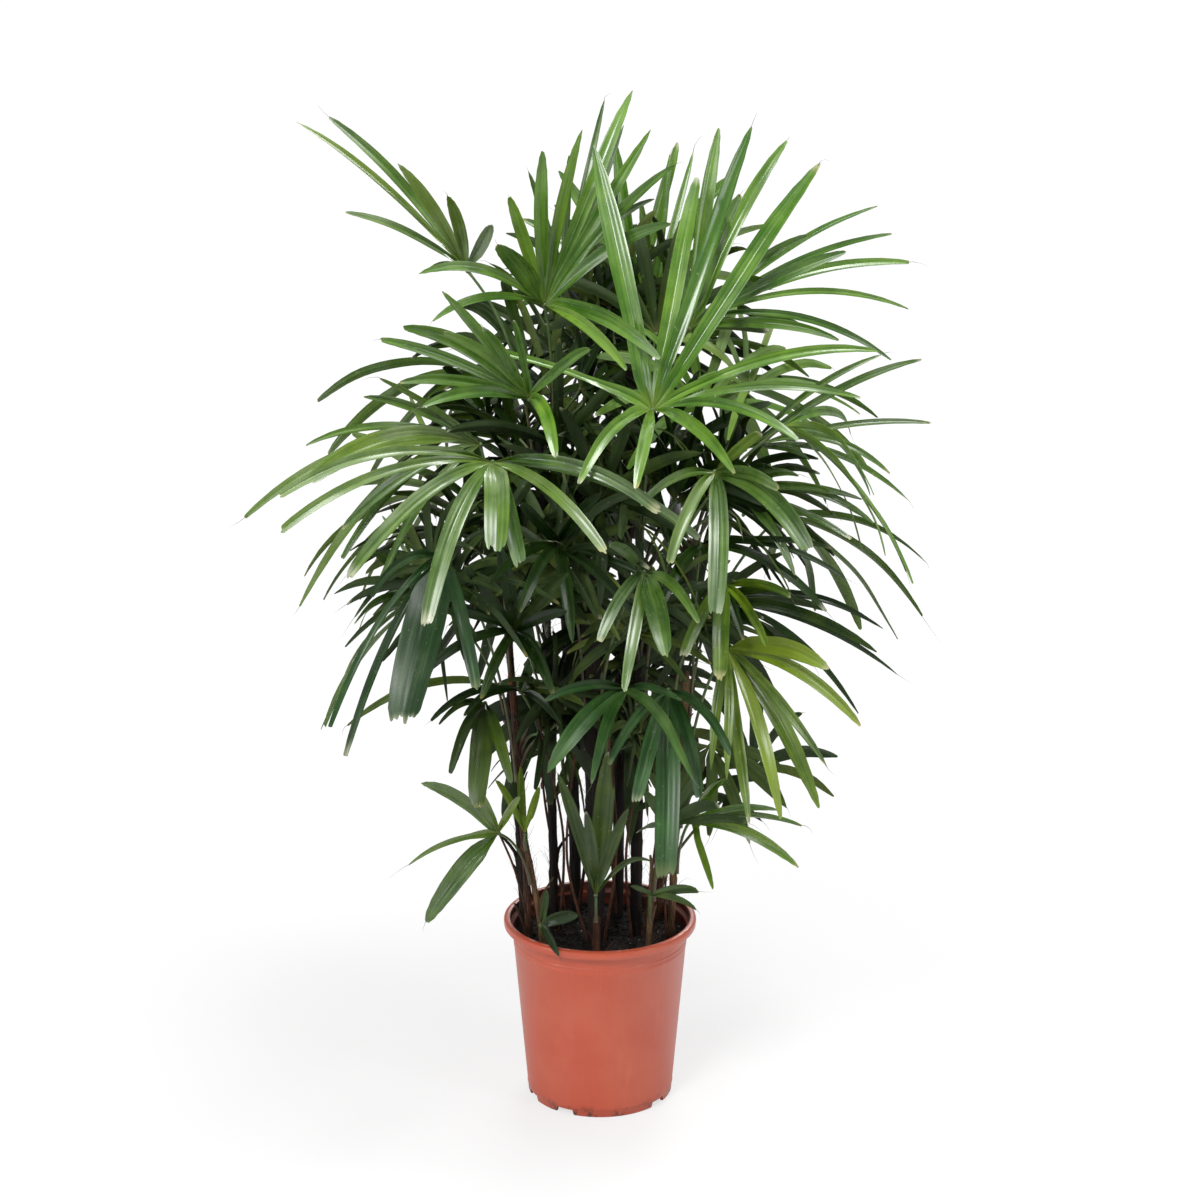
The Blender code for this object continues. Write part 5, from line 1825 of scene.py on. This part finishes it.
@dataclass
class Pot:
    """The moulded nursery pot: a tapered wall, a turned-down collar, notched feet and drain holes."""

    material: Material
    segments: int = 144
    height: float = 0.2325
    rim: float = 0.1200
    mouth: float = 0.1115
    base: float = 0.0905
    slope: float = 0.0865
    wall: float = 0.0018
    collar: float = 0.010
    floor: float = 0.008
    floor_wall: float = 0.0022
    foot: float = 0.0045
    bottom_hole: float = 0.003
    cuts: int = 6  # notches, and as many drain holes
    notch_centres: tuple[float, float] = (-29.0, 53.0)  # of each pair, in degrees from the front
    notch_size: Point = (0.029, 0.020, 0.0144)
    notch_taper: float = 0.74
    drain_ring: float = 0.060
    drain_radius: float = 0.006
    drain_depth: float = 0.012
    drain_sides: int = 32
    smooth: int = 28  # degrees
    lip: tuple[tuple[float, float], ...] = (  # how far out from the mouth and down from the top
        *((0.0, 0.0090), (0.0, 0.0022), (0.0004, 0.0009), (0.0014, 0.0002), (0.0026, 0.0)),
    )
    roll: tuple[tuple[float, float], ...] = (  # how far in from the rim and down from the top
        *((0.0036, 0.0), (0.0018, 0.0005), (0.0006, 0.0016), (0.0001, 0.0034), (0.0, 0.0050), (0.0004, 0.0092)),
        *((0.0009, 0.0100), (0.0019, 0.0100), (0.0025, 0.0092), (0.0028, 0.0032)),
    )
    ridges: tuple[tuple[float, float], ...] = (  # how far out from the wall, and the height
        *((0.0, 0.2067), (0.0004, 0.2060), (0.0004, 0.2040), (0.0, 0.2033)),
        *((0.0, 0.2002), (0.0003, 0.1995), (0.0003, 0.1975), (0.0, 0.1968), (0.0, 0.1100)),
        *((0.0, 0.0130), (0.0004, 0.0122), (0.0004, 0.0110), (0.0, 0.0102), (0.0, 0.0016)),
    )

    def radius_at(self, height: float) -> float:
        """Return the wall's outer radius at a height."""
        return self.base + self.slope * height

    def section(self) -> list[tuple[float, float]]:
        """Return the pot's section from the floor's middle, over the rim and down to the feet."""
        wall, top = self.radius_at, self.height
        inner_floor, skirt = self.floor + self.floor_wall, top - self.collar
        step = skirt - 0.004
        return [
            (self.bottom_hole, inner_floor),
            (wall(inner_floor) - self.wall - 0.0030, inner_floor),
            (wall(inner_floor + 0.0012) - self.wall - 0.0008, inner_floor + 0.0010),
            *((wall(height) - self.wall, height) for height in (inner_floor + 0.0030, 0.100, step)),
            *((self.mouth + out, top - down) for out, down in self.lip),
            *((self.rim - inward, top - down) for inward, down in self.roll),
            (self.mouth + self.wall + 0.0006, top - 0.0032),
            (self.mouth + self.wall, skirt - 0.0004),
            (wall(step), step),
            *((wall(height) + proud, height) for proud, height in self.ridges),
            (self.base - 0.0005, 0.0004),
            (self.base - 0.0013, 0.0),
            (self.base - self.foot + 0.0006, 0.0),
            (self.base - self.foot, 0.0006),
            (self.base - self.foot - 0.0008, self.floor),
            (self.bottom_hole, self.floor),
        ]

    def build_wall(self) -> Shape:
        """Model the pot, without its cuts, by drawing a ring out along its section."""
        section = self.section()
        radius, height = section[0]
        sizes = {"vertices": self.segments, "radius": radius, "location": (0, 0, height)}
        pot = new_primitive(bpy.ops.mesh.primitive_circle_add, "nursery_pot", **sizes)
        with edit_mode():
            bpy.ops.mesh.select_all(action="SELECT")
            for (before, low), (radius, height) in zip(section, section[1:]):
                bpy.ops.mesh.extrude_edges_move(TRANSFORM_OT_translate={"value": (0, 0, height - low)})
                share = radius / before
                bpy.ops.transform.resize(value=(share, share, 1), center_override=(0, 0, height))
            bpy.ops.mesh.select_all(action="SELECT")
            bpy.ops.mesh.remove_doubles(threshold=0.00001)
            bpy.ops.mesh.select_all(action="DESELECT")
            bpy.ops.mesh.select_non_manifold()
            bpy.ops.mesh.edge_face_add()
            bpy.ops.mesh.select_all(action="SELECT")
            bpy.ops.mesh.normals_make_consistent(inside=False)
        return pot

    def notch(self, index: int) -> Shape:
        """Make the tapered block that cuts one notch between the feet.

        Args:
            index: The notch's number.

        Returns:
            The block.
        """
        around = math.radians(self.notch_centres[index % 2] + 720 / self.cuts * (index // 2) - 90)
        far = self.base - self.foot / 2  # the middle of the feet's ring
        place = (far * math.cos(around), far * math.sin(around), 0.0)
        turn = (0, 0, around + math.pi / 2)
        sizes = {"size": 1.0, "location": place, "rotation": turn, "scale": self.notch_size}
        block = new_primitive(bpy.ops.mesh.primitive_cube_add, f"notch_{index}", **sizes)
        with edit_mode():
            select_points(block, lambda point: point.z > 0)
            bpy.ops.transform.resize(value=(self.notch_taper, self.notch_taper, 1.0), center_override=place)
        return block

    def drain(self, index: int) -> Shape:
        """Make the cylinder that cuts one drain hole.

        Args:
            index: The hole's number.

        Returns:
            The cylinder.
        """
        around = 2 * math.pi * index / self.cuts
        place = (self.drain_ring * math.cos(around), self.drain_ring * math.sin(around), self.floor)
        sizes = {"vertices": self.drain_sides, "radius": self.drain_radius, "depth": self.drain_depth}
        return new_primitive(bpy.ops.mesh.primitive_cylinder_add, f"drain_{index}", **sizes, location=place)

    def build(self) -> None:
        """Build the pot, cut its notches and drain holes, and hand it over."""
        pot = self.build_wall()
        cutters = [cut(index) for index in range(self.cuts) for cut in (self.notch, self.drain)]
        for cutter in cutters:
            apply_modifier(pot, "BOOLEAN", object=cutter, operation="DIFFERENCE", solver="EXACT")
            remove(cutter)
        dress(pot, self.material)
        hand_over(pot, "pot_plastic", self.smooth, "pot")


@dataclass
class SoilTop:
    """The loose top of the potting mix: a rough layer, crumbs, bark chips and a few white grains."""

    peat: Material
    bark: Material
    perlite: Material
    chance: random.Random
    radius: float = 0.1065
    level: float = 0.205
    dome: float = 0.004
    lumps: float = 0.0016
    grain: float = 0.0009
    lift: float = 0.0012  # how far the layer lies over the frame's soil
    sides: int = 96
    rings: int = 20
    ring: float = 0.0052  # the width of a ring of faces
    depth: float = 0.003
    shaken: float = 0.0012  # how far a point strays aside
    rough: float = 0.0008  # how far it strays up or down
    still: float = 0.001  # how wide the edge is that doesn't stray aside
    seed: int = 5
    strewn: float = 0.103  # how far from the middle the crumbs lie
    smooth: int = 25  # degrees

    def height_at(self, x: float, y: float) -> float:
        """Find the height of the rough layer.

        Args:
            x: The place's X.
            y: The place's Y.

        Returns:
            The height.
        """
        far = min(1.0, math.hypot(x, y) / self.radius)
        lumps = math.sin(61 * x + 3.1 * math.sin(47 * y)) * math.sin(53 * y + 2.3 * math.sin(71 * x))
        fine = math.sin(233 * x + 1.7 * math.sin(191 * y)) * math.sin(211 * y)
        rough = self.lumps * lumps + self.grain * fine + self.lift
        return self.level + self.dome * (1 - far**3) + rough * (1 - 0.5 * far**8)

    def build_layer(self) -> None:
        """Build the rough layer, closed below, and hand it over."""
        sizes = {"vertices": self.sides, "radius": self.radius, "location": (0, 0, self.level), "fill_type": "NGON"}
        layer = new_primitive(bpy.ops.mesh.primitive_circle_add, "soil_top", **sizes)
        with edit_mode():
            bpy.ops.mesh.select_all(action="SELECT")
            for _ in range(self.rings):
                bpy.ops.mesh.inset(thickness=self.ring, depth=0.0)
        draw = random.Random(self.seed).uniform
        places = points_of(layer)
        for point in places:
            if math.hypot(point[0], point[1]) < self.radius - self.still:
                point[0] += draw(-self.shaken, self.shaken)
                point[1] += draw(-self.shaken, self.shaken)
            point[2] = self.height_at(point[0], point[1]) + draw(-self.rough, self.rough)
        move_points(layer, places)
        apply_modifier(layer, "SOLIDIFY", thickness=self.depth, offset=-1.0)
        dress(layer, self.peat)
        hand_over(layer, "potting_soil", self.smooth)

    def scatter(
        self, name: str, count: int, sizes: tuple[float, float], flat: float, material: Material
    ) -> None:
        """Scatter crumbs over the layer and hand them over as one piece.

        Args:
            name: The piece's name.
            count: How many there are.
            sizes: The least and greatest size in metres.
            flat: The thickness as a share of the width.
            material: The material.
        """
        draw, turned = self.chance.uniform, Matrix.Rotation
        model = new_primitive(bpy.ops.mesh.primitive_ico_sphere_add, "model_crumb", subdivisions=1, radius=0.5)
        crumbs = []
        for index in range(count):
            crumb = copy_of(model, f"{name}_{index}")
            far, around = self.strewn * math.sqrt(self.chance.random()), draw(0, 6.283)
            x, y = far * math.cos(around), far * math.sin(around)
            size = draw(*sizes)
            middle = Vector((x, y, self.height_at(x, y) + size * flat * 0.25))
            turn = turned(draw(0, FULL_TURN), 3, "Z") @ turned(draw(-0.5, 0.5), 3, "X")
            stretch = Vector((1.0, draw(0.55, 1.0), flat)) * size
            places = [middle + turn @ (Vector(point) * stretch * draw(0.7, 1.25)) for point in points_of(crumb)]
            move_points(crumb, places)
            crumbs.append(crumb)
        remove(model)
        piece = join(name, crumbs)
        dress(piece, material)
        hand_over(piece, "potting_soil", self.smooth)

    def build(self) -> None:
        """Build the layer and what lies on it, and dress the frame's soil below."""
        dress(bpy.data.objects["soil"], self.peat)
        self.build_layer()
        self.scatter("soil_crumbs", 900, (0.0015, 0.0050), 0.8, self.peat)
        self.scatter("bark_chips", 170, (0.004, 0.010), 0.35, self.bark)
        self.scatter("perlite_grains", 26, (0.0015, 0.0032), 0.9, self.perlite)


# ---------------------------------------------------------------- studio


@dataclass(frozen=True)
class Lamp:
    """A rectangular soft lamp that looks at a point on the plant's axis."""

    name: str
    place: Point
    aim: float  # the height of the point that it looks at
    size: tuple[float, float]
    watts: float

    def build(self) -> None:
        """Add the lamp."""
        data = bpy.data.lights.new(self.name, "AREA")
        data.shape = "RECTANGLE"
        data.size, data.size_y = self.size
        data.energy = self.watts
        lamp = bpy.data.objects.new(self.name, data)
        bpy.context.collection.objects.link(lamp)
        lamp.location = self.place
        lamp.rotation_euler = (UP * self.aim - lamp.location).to_track_quat("-Z", "Y").to_euler()


@dataclass
class Studio:
    """A white floor, five soft lamps, a pale surround and the camera."""

    floor_size: float = 120.0
    floor_level: float = -0.0005  # just under the feet, so that no faces coincide
    ambient: float = 0.12
    floor_shine: float = 0.14  # how much of the white reflections see
    surround_shine: float = 0.42
    shaded: tuple[float, float] = (0.5, 1.5)  # how far from the pot the shadow fades out, in metres
    glow: tuple[float, float] = (0.66, 1.0)  # the share of the floor's white that glows near the pot and far off
    camera_place: Point = (0.0, -3.0, 1.475)
    camera_pitch: float = 74.45
    lens: float = 77.49
    lamps: tuple[Lamp, ...] = (
        Lamp("key_lamp", (-1.3, -2.6, 2.9), 0.7, (1.1, 0.9), 88.0),
        Lamp("top_lamp", (0.7, -0.5, 3.3), 0.7, (1.2, 1.0), 80.0),
        Lamp("left_lamp", (-2.3, -1.5, 1.0), 0.55, (0.6, 1.8), 24.0),
        Lamp("right_lamp", (2.3, -1.6, 1.2), 0.6, (0.7, 1.8), 22.0),
        Lamp("back_lamp", (0.5, 2.6, 2.2), 0.6, (1.6, 1.0), 52.0),
    )

    @staticmethod
    def paths(nodes: Nodes, mirrored: float) -> tuple[Socket, Socket]:
        """Return what the camera sees directly, and a share of what reflections see.

        Args:
            nodes: The node writer.
            mirrored: The share of the glow that reflections see.
        """
        path = nodes.add("LightPath").outputs
        seen = nodes.most(path["Is Camera Ray"], path["Is Transmission Ray"])
        return seen, nodes.times(path["Is Glossy Ray"], mirrored)

    def build_floor(self) -> None:
        """Build the floor, white to the camera with the plant's soft shadow on it."""
        sizes = {"size": self.floor_size, "location": (0, 0, self.floor_level)}
        floor = new_primitive(bpy.ops.mesh.primitive_plane_add, "studio_floor", **sizes)
        material, nodes = Finish("studio_white").start()
        nodes.send(Base_Color=(0.72, 0.72, 0.72), Roughness=0.9, Specular_IOR_Level=0.0)
        shader = nodes.end.outputs[0]
        glow = nodes.add("Emission", None, Color=WHITE, Strength=1.04).outputs[0]
        seen, shine = self.paths(nodes, self.floor_shine)
        # The glow gives way to the lamps' light near the pot, where the shadow lies
        seen = nodes.times(seen, nodes.ramp(nodes.length(nodes.place()), *self.shaded, *self.glow))
        nodes.end = nodes.tree.nodes["Material Output"]
        blend = nodes.add("MixShader", None, in_0=nodes.most(seen, shine), in_1=shader, in_2=glow)
        nodes.send(Surface=blend.outputs[0])
        dress(floor, material)
        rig.stage(floor)

    def build_world(self) -> None:
        """Surround the plant with white that the camera and reflections see, and a soft light."""
        world = bpy.data.worlds.new("studio_surround")
        world.use_nodes = True
        bpy.context.scene.world = world
        nodes = Nodes(world.node_tree, world.node_tree.nodes["Background"])
        seen = nodes.most(*self.paths(nodes, self.surround_shine))
        nodes.send(Color=WHITE, Strength=nodes.most(seen, self.ambient))

    def build_camera(self) -> None:
        """Add the camera."""
        data = bpy.data.cameras.new("studio_camera")
        data.lens = self.lens
        data.sensor_width = 36.0
        camera = bpy.data.objects.new("studio_camera", data)
        bpy.context.collection.objects.link(camera)
        camera.location = self.camera_place
        camera.rotation_euler = (math.radians(self.camera_pitch), 0.0, 0.0)
        bpy.context.scene.camera = camera

    def build(self) -> None:
        """Build the whole studio."""
        bpy.context.scene.view_settings.view_transform = "Standard"
        self.build_floor()
        self.build_world()
        for lamp in self.lamps:
            lamp.build()
        self.build_camera()


# ---------------------------------------------------------------- the plant


@dataclass
class Plant:
    """The whole plant: every piece round the frame, in order."""

    chance: random.Random
    slots: dict[str, str]  # each frame node's material slot
    tall: float = 0.6  # the height past which a cane bears extra leaves

    def nodes_of(self, kind: str) -> list[tuple[str, str, str]]:
        """Return each frame node of a kind, and its name and its slot without the kind."""
        found = [(node, slot) for node, slot in self.slots.items() if node.startswith(kind)]
        return [(node, node.removeprefix(kind), slot.removeprefix(kind)) for node, slot in found]

    def build_leaf(self, maker: LeafMaker, node: str, short: str, tone: LeafTone) -> None:
        """Build a leaf over its frame node, or dress the node if its outline can't be read.

        Args:
            maker: What builds the leaves.
            node: The frame node.
            short: Its name in LOOKS.
            tone: Its slot's green.
        """
        try:
            stem, blades = OutlineReader(bpy.data.objects[node]).read()
        except ValueError as fault:
            log.warning("%s keeps its frame shape: %s", node, fault)
            dress(bpy.data.objects[node], maker.sides[tone][0])
            return
        form = LeafForm("fan_" + short, tone.slot, LOOKS.get(short, LeafLook(tone)), stem, blades)
        if form.look.turned:
            form.turn()
        maker.build(form, node)

    def build(self) -> None:
        """Build every piece."""
        chance = self.chance
        Pot(POT.material()).build()
        SoilTop(SOIL.material(), BARK_CHIP.material(), PERLITE.material(), chance).build()

        thin = straight_tube("model_stem", 8, 20)
        thick = straight_tube("model_cane", 20, 90)
        hair = straight_tube("model_hair", 3, 3)
        stub = straight_tube("model_stub", 8, 6)
        knob = new_primitive(bpy.ops.mesh.primitive_uv_sphere_add, "model_knob", segments=12, ring_count=8, radius=1.0)
        barks = {tone: finish.material() for tone, finish in BARKS.items()}
        canes = CaneMaker(thick, hair, stub, barks, chance)
        lines = {node: canes.build(node, tone) for node, _, tone in self.nodes_of("cane_")}
        DryStalks(thin, barks["brown"]).build()

        masters = BladeMasters()
        plain = BladeMasters(*PLAIN_BLADE)
        sides = {tone: (upper.material(), under.material()) for tone, (upper, under) in SIDES.items()}
        maker = LeafMaker(masters, thin, knob, hair, sides, PETIOLE.material(), chance)
        for node, short, tone in self.nodes_of("leaf_"):
            self.build_leaf(maker, node, short, LeafTone(tone))
        tall = [lines[node] for node in sorted(lines) if lines[node][-1].z > self.tall]
        ExtraFoliage(replace(maker, masters=plain), tall).build()
        remove(thin, thick, hair, stub, knob, *masters.made.values(), *plain.made.values())


def main() -> None:
    """Build the plant and the studio round it."""
    slots = {part["node"]: part["material_slot"] for part in frame["record"]["subparts"]}
    Plant(random.Random(SEED), slots).build()
    Studio().build()
    sizes = {"cad": [list(corner) for corner in cad_box], "visual": [list(corner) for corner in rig.bounds()]}
    with open("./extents.json", "w", encoding="utf-8") as out:
        json.dump(sizes, out)


if __name__ == "__main__":
    main()
